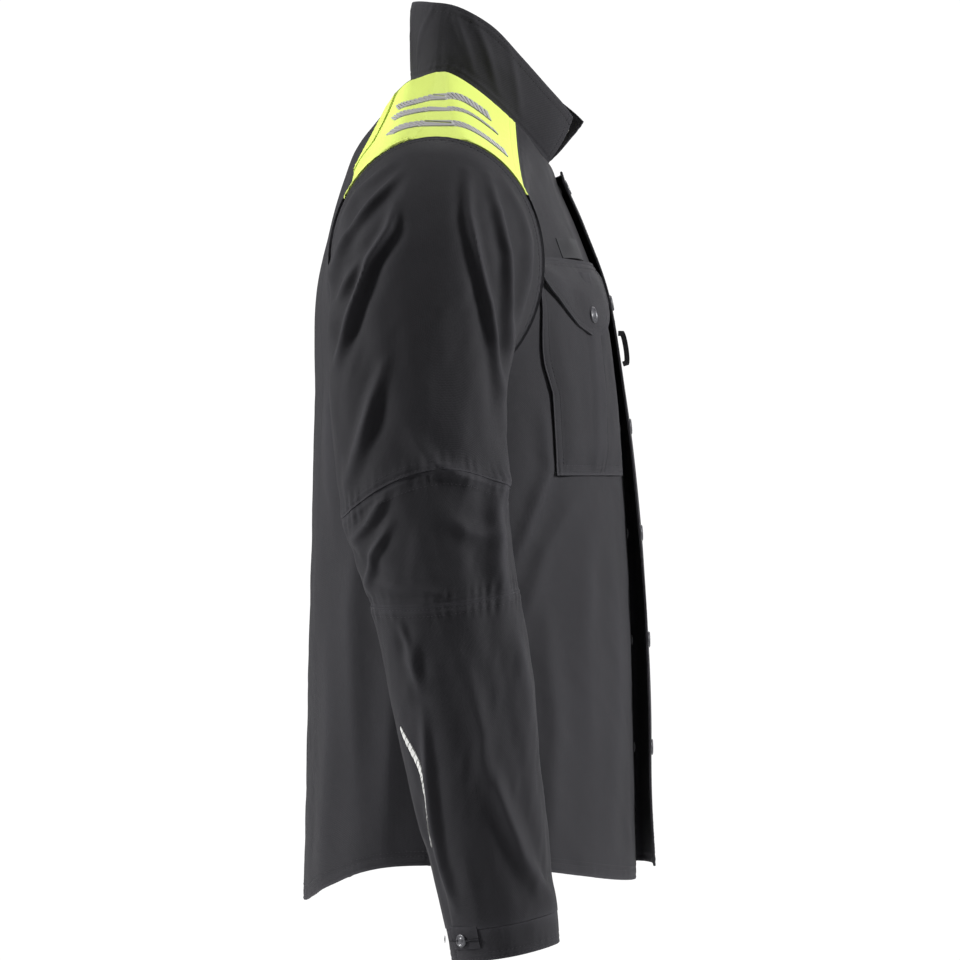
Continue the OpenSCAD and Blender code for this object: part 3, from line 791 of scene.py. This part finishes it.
# Collar: outer cloth and lining close towards each other along the top edge
collar_centre = np.array([0.0, -50.0, 20.0])
collar_p = np.linspace(-177, 177, 241)
collar_q = steps(75, 3.2)
cp, cq = np.meshgrid(collar_p, collar_q)
collar_folds = ((28, -14, 1.8), (52, -30, 1.5), (96, 26, 2.0), (112, 30, 1.8), (131, 22, 1.6))
for name, node, low, high, off, thick, material, slot in (
        ("collar_outer_cloth", "collar_outer", 0.0, 1.0, 0.0, 1.4, black, "black_cloth"),
        ("collar_lining_cloth", "collar_lining", 0.02, 0.985, -1.8, 1.3, lining, "lining_cloth")):
    q = mix(high, low, cq)
    close = ease((q - 0.93) / 0.07) * (-0.7 if off == 0 else 0.5)
    plain = collar_point(cp, q, np.full(q.shape, off))
    n = facing(plain, collar_centre)[0]
    h = close + 1.3 * wrinkle(cp * 1.3 + 400, cq * 75 + 30, 36, 30, 91) * np.sin(np.pi * cq)
    for angle, lean, height in collar_folds:
        away = np.abs(cp) - angle - lean * (cq - 0.5)
        h += height * np.exp(-np.abs(away / 3.4) ** 1.7) * np.sin(np.pi * np.clip(1.15 * cq, 0, 1)) ** 0.7
    if off == 0:
        h += sewn(plain, ("top", "bottom", "left", "right"), rows=(3.2, 8.6), pucker=0.35)
    p = plain + h[..., None] * n
    piece = shell(name, p, thick, collar_centre, material, wear_and_highlight=h * 2)
    place(piece, "torso", slot, node)
    cut(plain)
    if off == 0:
        collar_shape = p
        torso_thread.sew_edges(p, collar_centre, ("top", "left", "right"), (3.2, 8.6))
        torso_thread.sew(follow(p, collar_centre, "bottom", 3.2))

# Hanger loop: a band of webbing in a half ring
turn = np.linspace(0, 180, 33)[:, None]
band = np.array([-3.2, -2.4, -1, 1, 2.4, 3.2])[None]
radius = 27.6 + 0.3 * cosd(band * 25)
loop = xyz(radius * cosd(turn), -8 + band, -2 - radius * sind(turn) * 0.93)
hanger = shell("hanger_loop_webbing", loop, 1.6, np.array([0.0, -8.0, -2.0]), webbing)
place(hanger, "torso", "webbing", "hanger_loop")

# Pockets: patch with a pleat down its middle, pointed flap, snap, and webbing loop above it
snap_profile = [(7.5, -0.6), (7.5, 0.35), (7.3, 0.85), (6.9, 1.2), (6.3, 1.42), (5.7, 1.46), (5.2, 1.3),
                (4.7, 0.98), (4.3, 0.86), (3.7, 0.98), (3.0, 1.28), (2.0, 1.5), (1.0, 1.6), (0, 1.62)]
snap_q, snap_z = 0.39, pocket_top - 48


def spot_and_normal(maker, *place_at, off):
    low, high = maker(*place_at, np.array(off)), maker(*place_at, np.array(off + 1.0))
    return low, unit(high - low)


for side, k in SIDES:
    flip = np.array([k, 1, 1])
    # Columns are close beside the pleat's slit, which leans from slit_top to slit_bottom
    slit_top, slit_bottom, slit_column = 0.28, 0.47, 0.375
    columns = np.unique(np.concatenate([slit_column * steps(56, 3.6),
                                        mix(slit_column, 1, steps(94, 3.6))]))
    qq, zz = np.meshgrid(columns, steps(185, 3.0))
    slit = mix(slit_top, slit_bottom, zz)
    qq = np.where(qq < slit_column, qq / slit_column * slit,
                  1 - (1 - qq) / (1 - slit_column) * (1 - slit))
    q_share = steps(150, 3.6)
    z = mix(pocket_top - 10, pocket_bottom, zz)
    plain = pocket_spot(qq, z, np.full(qq.shape, 3.0)) * flip
    n = facing(plain, chest)[0]
    edge = borders(plain)
    near_edge = np.minimum.reduce([edge[s] for s in ("left", "right", "bottom")])
    h = 3.4 * ease(near_edge / 26) * (0.55 + 0.45 * ease(edge["top"] / 60))
    pleat = spans(plain, 1) - slit * spans(plain, 1)[:, -1:]
    h += 2.2 * ease((pleat + 1) / 2) * ease((30 - pleat) / 8) * ease(edge["bottom"] / 8)
    h -= 4.6 * np.exp(-(pleat / 1.9) ** 2) * ease(edge["bottom"] / 10)
    h += 1.1 * wrinkle(edge["left"] + 80 + 300 * k, edge["top"] + 300, 30, 52, 51) * ease(near_edge / 14)
    h += 0.5 * wrinkle(edge["left"] + 80, edge["top"] + 900, 11, 26, 52) * ease(near_edge / 8)
    h += sewn(plain, ("left", "right", "bottom"), rows=(2.4, 8.6), pucker=0.4) - 0.6
    p = plain + h[..., None] * n
    pocket = shell(f"pocket_body_{side}_cloth", p, 1.2, chest, black, wear_and_highlight=h - 2)
    place(pocket, "torso", "black_cloth", f"pocket_body_{side}")
    cut(plain)
    torso_thread.sew_edges(p, chest, ("left", "right", "bottom"), double_row, part=(0.04, 0.96))

    # Flap, sewn along its top edge
    low = pocket_top - np.interp(q_share, (0, 0.2, 0.33, 0.46, 0.6, 0.8, 1), (42, 59, 66, 66, 58, 34, 16))
    low = low + 7 * np.exp(-(q_share / 0.05) ** 2)
    rows = steps(58, 3.0)
    z = mix(pocket_top + 1.5, low[None], rows[:, None])
    qq = np.broadcast_to(q_share * 1.03 - 0.015, z.shape)
    lift = mix(3.4, 7.6, ease(rows / 0.45))[:, None]
    plain = pocket_spot(qq, z, np.broadcast_to(lift, z.shape)) * flip
    n = facing(plain, chest)[0]
    edge = borders(plain)
    h = 1.0 * wrinkle(edge["left"] + 200, edge["top"] + 60 + 200 * k, 34, 30, 57) * ease(edge["top"] / 14)
    h += 1.4 * np.exp(-((q_share - 0.7) / 0.12) ** 2)[None] * ease(rows / 0.6)[:, None]
    h += sewn(plain, ("top", "bottom", "left", "right"), rows=(2.4, 7.2), pucker=0.35)
    p = plain + h[..., None] * n
    flap = shell(f"pocket_flap_{side}_cloth", p, 1.6, chest, black, wear_and_highlight=h * 3)
    flap_bend = (("torso", f"pocket_flap_{side}"), (k * 0.126, -0.14, -0.1715), (k * 0.126, -0.14, -0.186),
                 "black_cloth")
    bend(flap, *flap_bend, f"pocket_flap_{side}")
    cut(plain)
    flap_thread = Thread().sew_edges(p, chest, ("bottom", "left", "right", "top"), (2.4, 7.2),
                                     part=(0.05, 0.95))
    bend(flap_thread.make(f"pocket_flap_{side}_stitching", stitching), *flap_bend)
    point, normal = spot_and_normal(pocket_spot, np.array(snap_q), np.array(float(snap_z)), off=8.3)
    cap = turned(f"pocket_snap_{side}_cap", snap_profile, [(point * flip, normal * flip)], snap_metal)
    place(cap, f"pocket_flap_{side}", "snap_metal", f"pocket_snap_{side}")

    # Webbing loop above the flap
    share, across = np.meshgrid(np.linspace(0, 1, 25), np.linspace(0, 1, 9))
    z = mix(-151, pocket_top + 3, across)
    off = 1.2 + 3.4 * np.sin(np.pi * share) ** 0.8 + 0.3 * wrinkle(share * 60 + 40, across * 20, 15, 9, 6)
    plain = pocket_spot(0.17 + 0.28 * share, z, off) * flip
    pen = shell(f"pen_loop_{side}_webbing", plain, 1.3, chest, webbing)
    place(pen, "torso", "webbing", f"pen_loop_{side}")
    cut(plain)

# Storm flap: sewn on along its left edge, with its lower part made as a piece of its own
centre_line = np.array([0.0, mid_y, -330.0])
flap_opens = ((0.0, -0.19, -0.300), (0.0, -0.20, -0.450))
flap_x = mix(flap_seam_x, flap_free_x, steps(62, 2.6))


def storm_height(x, z):
    """Height of the storm flap's ripples, and of its free lower edge, which stands open."""
    loose = ease((flap_seam_x - 6 - x) / 40)
    h = 0.9 * wrinkle(x + 200, z + 1000, 40, 74, 83) * loose
    h += 1.6 * np.sin((z + 60) / 41) * loose * ease((-420 - z) / 120)
    return h + 3.4 * loose * ease((-500 - z) / 110)


for name, node, high, low, body_pair in (
        ("storm_flap_top_cloth", "storm_flap_top", flap_top_z, flap_joint_z, None),
        ("storm_flap_cloth", "storm_flap", flap_joint_z, flap_bottom_z, ("torso", "storm_flap"))):
    rows = steps(high - low, 4.0, body_pair is None, body_pair is not None)
    z = np.broadcast_to(mix(high, low, rows)[:, None], (len(rows), len(flap_x)))
    x = np.broadcast_to(flap_x, z.shape)
    plain = flap_point(x, z, np.full(z.shape, 1.4))
    n = facing(plain, centre_line)[0]
    ends = ("left", "right", "top" if body_pair is None else "bottom")
    h = storm_height(x, z) + sewn(plain, ends, rows=(2.4, 8.6), pucker=0.45)
    h -= 3.4 * np.exp(-((x - flap_seam_x) / 4.5) ** 2)
    p = plain + h[..., None] * n
    flap = shell(name, p, 1.5, centre_line, black, wear_and_highlight=h * 2)
    thread = Thread().sew_edges(p, centre_line, ends, double_row)
    stitches = thread.make(name.replace("cloth", "stitching"), stitching)
    if body_pair is None:
        place(flap, "torso", "black_cloth", node)
        place(stitches, "torso", "black_cloth")
    else:
        bend(flap, body_pair, *flap_opens, "black_cloth", node)
        bend(stitches, body_pair, *flap_opens, "black_cloth")
    cut(plain)


def storm_snap(z, off):
    x = np.array(-26.0)
    base = storm_height(x, np.array(float(z)))
    return spot_and_normal(lambda height, o: flap_point(x, height, o), np.array(float(z)), off=off + base)


snaps = [storm_snap(z, 1.6) for z in snap_heights]
place(turned("storm_snaps_top_caps", snap_profile, snaps[:2], snap_metal), "torso", "snap_metal",
      "storm_snaps_top")
lower = turned("storm_snaps_caps", snap_profile, snaps[2:], snap_metal)
bend(lower, ("torso", "storm_flap"), *flap_opens, "snap_metal", "storm_snaps")
collar_spot = follow(collar_shape, collar_centre, "right", 9.0)
spot, way_out = np.split(collar_spot[int(len(collar_spot) * 0.42)], 2)
for name, at, way, material, scale in (("cap", spot, way_out, snap_metal, 0.8),
                                       ("socket", spot - 3.0 * way_out, -way_out, zip_metal, 0.4)):
    place(turned(f"collar_snap_{name}", snap_profile, [(at, way)], material, scale), "torso", "snap_metal")

# Webbing loop on the storm flap
share, across = np.meshgrid(np.linspace(0, 1, 41), np.linspace(0, 1, 9))
loop = flap_point(mix(-19.4, -4.6, across), mix(-263, -231, share),
                  2.8 + 6.6 * np.maximum(np.sin(np.pi * share), 0) ** 0.14 + 0.25 * np.sin(across * 9))
front = shell("front_loop_webbing", loop, 4.4, centre_line, webbing)
place(front, "torso", "webbing", "front_loop")
cut(loop)

# Zip: tapes with a woven edge, and single teeth along the curved and the straight stretch
for side, k in SIDES:
    xs = k * np.array([3.3, 4.6, 8.0, 12.0, 16.0])
    curved = [body_out(xs, np.full(xs.shape, t), np.full(xs.shape, -5.6))
              for t in front_t(0.0, np.linspace(-100, -292, 25)[:24])]
    straight = [on_zip(xs, 0.3, -run) for run in np.linspace(0, zip_length, 44)]
    tape = shell(f"zip_tape_{side}_cloth", np.array(curved + straight), 0.9, centre_line + [0, 100, 0],
                 webbing)
    place(tape, "torso", "webbing", f"zip_tape_{side}")
    verts, faces = [], []
    stations = [("up", t) for t in np.arange(-152 + 1.25 * (k > 0), -352, -2.5)]
    stations += [("down", d) for d in np.arange(1.25 * (k > 0), zip_length - 9, 2.5)]
    for kind, at_ in stations:
        if kind == "up":
            centre = body_out(np.array(1.9 * k), np.array(float(at_)), np.array(-6.1))
            if centre[2] < -295:
                continue
            ahead = body_out(np.array(1.9 * k), np.array(at_ - 1.0), np.array(-6.1))
            along = unit(ahead - centre)
        else:
            centre, along = on_zip(1.9 * k, 0, -at_), unit(on_zip(0, 0, -1.0) - zip_top)
        side_way = np.array([1.0, 0, 0])
        out = unit(np.cross(along, side_way))
        first = len(verts)
        for depth, wide, tall in ((-1.0, 1.1, 0.55), (-0.5, 1.3, 0.85), (0.5, 1.3, 0.85), (1.0, 1.1, 0.55)):
            for a, b in ((-1, -1), (1, -1), (1, 1), (-1, 1)):
                verts.append(centre + out * depth + side_way * a * wide + along * b * tall)
        for level in range(3):
            low_ring, up_ring = first + 4 * level, first + 4 * level + 4
            faces += [[low_ring + c, low_ring + (c + 1) % 4, up_ring + (c + 1) % 4, up_ring + c]
                      for c in range(4)]
        faces += [[first, first + 3, first + 2, first + 1], [first + 12, first + 13, first + 14, first + 15]]
    teeth = mesh_object(f"zip_teeth_{side}_row", verts, faces, None, zip_metal, 30)
    place(teeth, "torso", "zip_metal", f"zip_teeth_{side}")


# Sleeves: fold lines are (Y, Z) points on the outer side of the arm, then width and height
sleeve_folds = [
    ([(-49, -100), (-50, -140), (-58, -179), (-67, -217), (-72, -252), (-76, -282), (-80, -322)], 5.0, 4.2),
    ([(-68, -104), (-76, -136), (-84, -174), (-85, -217), (-84, -260), (-79, -293)], 4.5, 3.8),
    ([(-84, -108), (-98, -136), (-103, -160), (-101, -191), (-94, -222), (-86, -252)], 5.0, 3.2),
    ([(18, -95), (49, -119), (62, -146)], 4.5, 3.0),
    ([(10, -104), (29, -125), (54, -156), (68, -192)], 4.5, 3.6),
    ([(12, -132), (18, -154), (34, -180), (46, -217), (57, -250), (64, -270)], 5.0, 5.0),
    ([(38, -172), (55, -198), (64, -214)], 5.0, 2.6),
    ([(22, -270), (32, -300), (36, -316), (43, -340), (54, -370)], 6.0, 4.0),
    ([(-4, -330), (-20, -352), (-52, -366), (-84, -366)], 8.0, 2.2),
    ([(20, -380), (32, -398), (48, -420)], 4.0, 3.2),
    ([(16, -402), (31, -430), (35, -462)], 4.0, 3.0),
    ([(-86, -336), (-74, -392), (-76, -440), (-84, -474)], 9.0, 3.4),
    ([(-30, -394), (-50, -410), (-82, -414)], 9.0, 2.0),
    ([(24, -452), (2, -458), (-28, -462)], 4.0, 2.2),
    ([(-6, -500), (-3, -520), (-8, -540)], 6.0, 3.0),
    ([(8, -486), (0, -506), (2, -520)], 3.5, 2.0),
    ([(-90, -486), (-98, -540), (-102, -600)], 10.0, 2.6),
    ([(-12, -560), (-16, -620), (-25, -682), (-40, -728)], 5.0, 3.2),
    ([(-50, -520), (-62, -580), (-66, -640)], 12.0, 2.2),
    ([(-70, -610), (-88, -660), (-112, -724)], 9.0, 2.8),
    ([(-104, -690), (-118, -716), (-124, -738)], 7.0, 2.6)]
ring_angles = np.arange(0, 360, 1.5)
sleeve_cloth, lap_v = 1.5, 3.045


def sleeve_height(p, a, k):
    """Height of the sleeve's folds: drawn ones on the outer side, and random ones all round."""
    y, z = p[..., 1], p[..., 2]
    outer = ease((cosd(a) + 0.45) / 0.7)
    drift = 5 * wrinkle(y + 500, z + 1000, 60, 90, 17) if k > 0 else 0.0
    h = np.zeros(p.shape[:2])
    for line, width, height in sleeve_folds:
        h += 3.0 * fold(y + drift, z + drift, line, 0.9 * width, height) * outer
    girth = np.where(a > 180, a - 360, a) * 1.25
    seed = 100 if k < 0 else 140
    h += 1.9 * wrinkle(girth + 600, z + 1000 + 0.5 * girth, 30, 90, seed) * (1 - 0.45 * outer)
    h += 1.0 * wrinkle(girth + 600, z + 1000 - 0.6 * girth, 17, 48, seed + 1)
    h += 0.45 * wrinkle(girth + 600 + z * 0.4, z + 1000, 8, 21, seed + 2)
    # Zigzag buckles at the back of the upper arm and in the crook of the elbow
    rear = ease((sind(a) - 0.45) / 0.5)
    buckle = np.sin((z + 0.35 * girth) / 8.6) * rear
    h += 2.0 * buckle * np.exp(-((z + 190) / 62) ** 2)
    h += 1.6 * np.sin((z - 0.3 * girth) / 6.5) * rear * np.exp(-((z + 430) / 42) ** 2)
    return h


def overlap_height(v, a):
    """The sleeve's outer part laps over its rear part from the piping's end down to the hem."""
    line = np.interp(v, (2.69, 2.84, 3.0, 3.2), (49, 53, 57, 61))
    behind = ease((a - line) / 2.0) * (1 - ease((a - line - 45) / 20))
    crease = np.exp(-((a - line - 1) / 1.6) ** 2)
    return -(1.5 * behind + 0.9 * crease) * ease((v - 2.66) / 0.08)


def sleeve_part(name, v0, v1, k, sides, rows, lift, fade_top):
    """One closed tube of a sleeve between two stations: the piece, its grid, middle line and plain grid."""
    aa, vv = np.meshgrid(ring_angles, mix(v0, v1, rows))
    plain = sleeve_point(vv, aa, np.zeros(vv.shape), k)
    centre_rows = plain.mean(axis=1, keepdims=True)
    n = facing(plain, centre_rows, True)[0]
    h = sleeve_height(plain, aa, k)
    edge = borders(plain, True)
    if fade_top:
        h *= ease(edge["top"] / fade_top)
    # The sleeve head lies flat and a little inside its outline, so the yoke's tips stay in sight
    if v0 == 0:
        h = mix(np.minimum(0.3 * h, 0.4) - 2.2, h, ease(vv / 0.35 - 0.1))
    h *= 1 - 0.6 * ease((vv - 2.85) / 0.15)
    h += overlap_height(vv, aa)
    for side in sides:
        h += lift * ease((11 - edge[side]) / 1.5) * (v0 > 0 or side == "bottom")
    inner_side = np.maximum(0, -cosd(aa)) * ease(vv / 0.4) * ease((-150 - plain[..., 2]) / 60)
    h = np.where(inner_side > 0.3, np.minimum(h, 2.0), h)
    for _ in range(2):
        h[1:-1] = 0.25 * h[:-2] + 0.5 * h[1:-1] + 0.25 * h[2:]
        h = 0.25 * np.roll(h, 1, 1) + 0.5 * h + 0.25 * np.roll(h, -1, 1)
    h += sewn(plain, sides, True, rows=(2.4, 8.2), pucker=0.75, pitch=8.5)
    p = plain + h[..., None] * n
    obj = shell(name, p, sleeve_cloth, centre_rows, black, True, wear_and_highlight=h)
    return obj, p, centre_rows, plain


for side, k in SIDES:
    swing = ((k * 0.229, -0.022, -0.290), (k * 0.2717, -0.022, -0.3077))
    flex = ((k * 0.30, -0.030, -0.397), (k * 0.30, -0.030, -0.530))
    upper_body, lower_body = f"sleeve_upper_{side}", f"sleeve_lower_{side}"
    upper_pair, lower_pair = ("torso", upper_body), (upper_body, lower_body)
    parts = (
        ("sleeve_upper", 0.0, 0.999, 330, upper_pair, swing, ("top", "bottom"), 0.7, 16.0),
        ("elbow_panel", 1.0, 2.0, 112, lower_pair, flex, ("top", "bottom"), 0.0, 0.0),
        ("sleeve_lower", 2.001, 2.998, 270, lower_pair, flex, ("top",), 0.7, 0.0))
    for node, v0, v1, length, pair, line, sides, lift, fade in parts:
        rows = steps(length, 2.5)
        obj, p, centre, plain = sleeve_part(f"{node}_{side}_cloth", v0, v1, k, sides, rows, lift, fade)
        bend(obj, pair, *line, "black_cloth", f"{node}_{side}")
        cut(plain, True)
        thread = Thread()
        if node == "elbow_panel":
            thread.sew(follow(p, centre, "top", 12.5, True))
        else:
            thread.sew_edges(p, centre, sides, (2.4, 8.2), True)
        if node == "sleeve_lower":
            lower_p = p
        bend(thread.make(f"{node}_{side}_stitching", stitching), pair, *line, "black_cloth")

    # Cuff band, stitched along its hem
    aa, vv = np.meshgrid(ring_angles, mix(3.0, 3.2, steps(27, 2.4)))
    plain = sleeve_point(vv, aa, 0.0, k)
    centre = plain.mean(axis=1, keepdims=True)
    n = facing(plain, centre, True)[0]
    h = 0.7 * wrinkle(aa * 0.9 + 60, vv * 130, 14, 30, 151 + k) + sewn(
        plain, ("bottom",), True, rows=(2.4, 7.0), pucker=0.35)
    h += overlap_height(vv, aa)
    p = plain + h[..., None] * n
    cuff = shell(f"cuff_band_{side}_cloth", p, 2.6, centre, black, True, wear_and_highlight=h * 3)
    place(cuff, lower_body, "black_cloth", f"cuff_band_{side}")
    cut(plain, True)
    thread = Thread().sew_edges(p, centre, ("bottom",), (2.4, 7.0), True)
    place(thread.make(f"cuff_band_{side}_stitching", stitching), lower_body, "black_cloth")

    # Reflective piping: slanted pieces along the back seam, widest near its upper third
    verts, faces = [], []
    count, piping_v, piping_run = 22, 2.36, 0.35
    for s in range(count):
        low_v, high_v = piping_v + piping_run * s / count, piping_v + piping_run * (s + 0.84) / count
        half = 2.9 * (0.22 + 0.78 * np.sin(np.pi * min(1, (s + 1.5) / count) ** 0.7))
        first = len(verts)
        for off, share in ((0.4, 1.0), (1.7, 0.8)):
            for j, a_side in enumerate((-1, 0, 1)):
                for v in (low_v, high_v):
                    middle_a = 66 - 18 * np.sin(np.pi * (v - piping_v) / 0.36)
                    slant = 0.008 * a_side
                    crown = 0.5 * (a_side == 0) * (off > 1)
                    base = sleeve_point(v + slant, middle_a + a_side * half * share, 0.0, k)
                    out = unit(sleeve_point(v + slant, middle_a + a_side * half, 1.0, k)
                               - sleeve_point(v + slant, middle_a + a_side * half, 0.0, k))
                    row = np.argmin(np.abs(lower_p[:, 0, 2] - base[2]))
                    ring = lower_p[row]
                    gap = np.linalg.norm(ring - base, axis=1)
                    nearest = ring[np.argmin(gap)]
                    verts.append(base + out * (off + crown + float((nearest - base) @ out)))
        for a, b, c, d in ((6, 7, 9, 8), (8, 9, 11, 10), (0, 2, 3, 1), (2, 4, 5, 3), (0, 1, 7, 6),
                           (4, 10, 11, 5), (0, 6, 8, 2), (2, 8, 10, 4), (1, 3, 9, 7), (3, 5, 11, 9)):
            quad = [first + i for i in (a, b, c, d)]
            faces.append(quad[::k])
    piping = mesh_object(f"sleeve_piping_{side}_film", verts, faces, None, piping_film, 35)
    place(piping, lower_body, "reflective_film", f"sleeve_piping_{side}")

    # Cuff lap: the free corner of the sleeve's overlap, with a snap
    tt, rr = np.meshgrid(steps(36, 2.2), steps(18, 2.2))
    plain = sleeve_point(lap_v + (rr - 0.5) * 0.12, mix(24, 60, tt), mix(0.9, 2.0, ease(tt / 0.5)), k)
    centre = plain.mean(axis=(0, 1)) - [k * 60, 0, 0]
    lap_edge = np.minimum(borders(plain)["top"], borders(plain)["bottom"])
    h = 0.3 * wrinkle(tt * 70 + 30, rr * 18 + 20, 15, 20, 161) + sewn(plain, ("right",), pucker=0.2)
    h -= 0.8 * (1 - ease(lap_edge / 3.5))
    p = plain + h[..., None] * facing(plain, centre)[0]
    tab = shell(f"cuff_tab_{side}_cloth", p, 1.4, centre, black, wear_and_highlight=h)
    tab_body = f"cuff_tab_{side}"
    root, tip = (tuple(sleeve_point(lap_v, a, 1, k) / 1000) for a in (25, 40))
    lap_bend = ((lower_body, tab_body), root, tip, "black_cloth")
    bend(tab, *lap_bend, tab_body)
    cut(plain)
    thread = Thread().sew(follow(p, centre, "right", 2.4), pitch=2.8, length=1.9)
    bend(thread.make(f"cuff_tab_{side}_stitching", stitching), *lap_bend)
    point, beyond = (sleeve_point(lap_v, 44, off, k) for off in (2.1, 3.1))
    cap = turned(f"cuff_snaps_{side}_cap", snap_profile, [(point, unit(beyond - point))], snap_metal, 0.74)
    place(cap, tab_body, "snap_metal", f"cuff_snaps_{side}")

place(torso_thread.make("torso_stitching", stitching), "torso", "black_cloth")

# CAD pieces whose shape is right keep it and get a finished material
for node, material in (("pocket_studs", snap_metal), ("zip_top_stops", zip_metal), ("zip_box", zip_metal),
                       ("zip_slider", zip_metal), ("zip_pull", zip_metal), ("placket_studs", snap_metal),
                       ("cuff_studs_right", snap_metal), ("cuff_studs_left", snap_metal)):
    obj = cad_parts[node]
    if not obj.material_slots:
        obj.data.materials.append(material)
    for held in obj.material_slots:
        held.material = material

# Floor, light and camera
scene = bpy.context.scene
floor_mesh = bpy.data.meshes.new("floor")
half, floor_z = 1.15, -0.95
corners = [(-half, -half, floor_z), (half, -half, floor_z), (half, half, floor_z), (-half, half, floor_z)]
floor_mesh.from_pydata(corners, [], [(0, 1, 2, 3)])
floor = bpy.data.objects.new("floor", floor_mesh)
scene.collection.objects.link(floor)
pale = Nodes("floor_pale", (0.86, 0.86, 0.86), 0.7)
grain = pale.noise(pale.add("TexCoord").outputs["Object"], 30, 3)
pale.join(pale.blend(grain, (0.84, 0.84, 0.84), (0.88, 0.88, 0.88)), pale.shader, "Base Color")
floor_mesh.materials.append(pale.material)

world = bpy.data.worlds.new("studio")
scene.world = world
world.use_nodes = True
tree = world.node_tree
background = tree.nodes["Background"]
background.inputs["Color"].default_value = (1, 1, 1, 1)
background.inputs["Strength"].default_value = 0.22
backdrop = tree.nodes.new("ShaderNodeBackground")
backdrop.inputs["Color"].default_value = (1, 1, 1, 1)
backdrop.inputs["Strength"].default_value = 1.05
path, choice = tree.nodes.new("ShaderNodeLightPath"), tree.nodes.new("ShaderNodeMixShader")
tree.links.new(path.outputs["Is Camera Ray"], choice.inputs[0])
tree.links.new(background.outputs[0], choice.inputs[1])
tree.links.new(backdrop.outputs[0], choice.inputs[2])
tree.links.new(choice.outputs[0], tree.nodes["World Output"].inputs["Surface"])
scene.view_settings.view_transform = "Standard"
middle = Vector((0, -0.06, -0.366))


def lamp(name, place_at, size, power):
    """A square area light that faces the middle of the coat."""
    data = bpy.data.lights.new(name, "AREA")
    data.size, data.energy = size, power
    obj = bpy.data.objects.new(name, data)
    obj.location = place_at
    obj.rotation_euler = (middle - Vector(place_at)).to_track_quat("-Z", "Y").to_euler()
    scene.collection.objects.link(obj)


lamp("front_side", (-0.48, -2.7, 0.5), 0.5, 150)
lamp("back_side", (-0.48, 2.7, 0.5), 0.5, 150)
lamp("overhead", (-0.4, 0.1, 2.6), 0.8, 30)
lamp("far_side", (2.6, -0.6, 1.0), 1.6, 40)

camera_data = bpy.data.cameras.new("camera")
camera_data.lens, camera_data.sensor_width = 163.1, 36
camera = bpy.data.objects.new("camera", camera_data)
camera.location = (-4, -0.0598, -0.366)
camera.rotation_euler = (math.radians(90), 0, math.radians(-90))
scene.collection.objects.link(camera)
scene.camera = camera
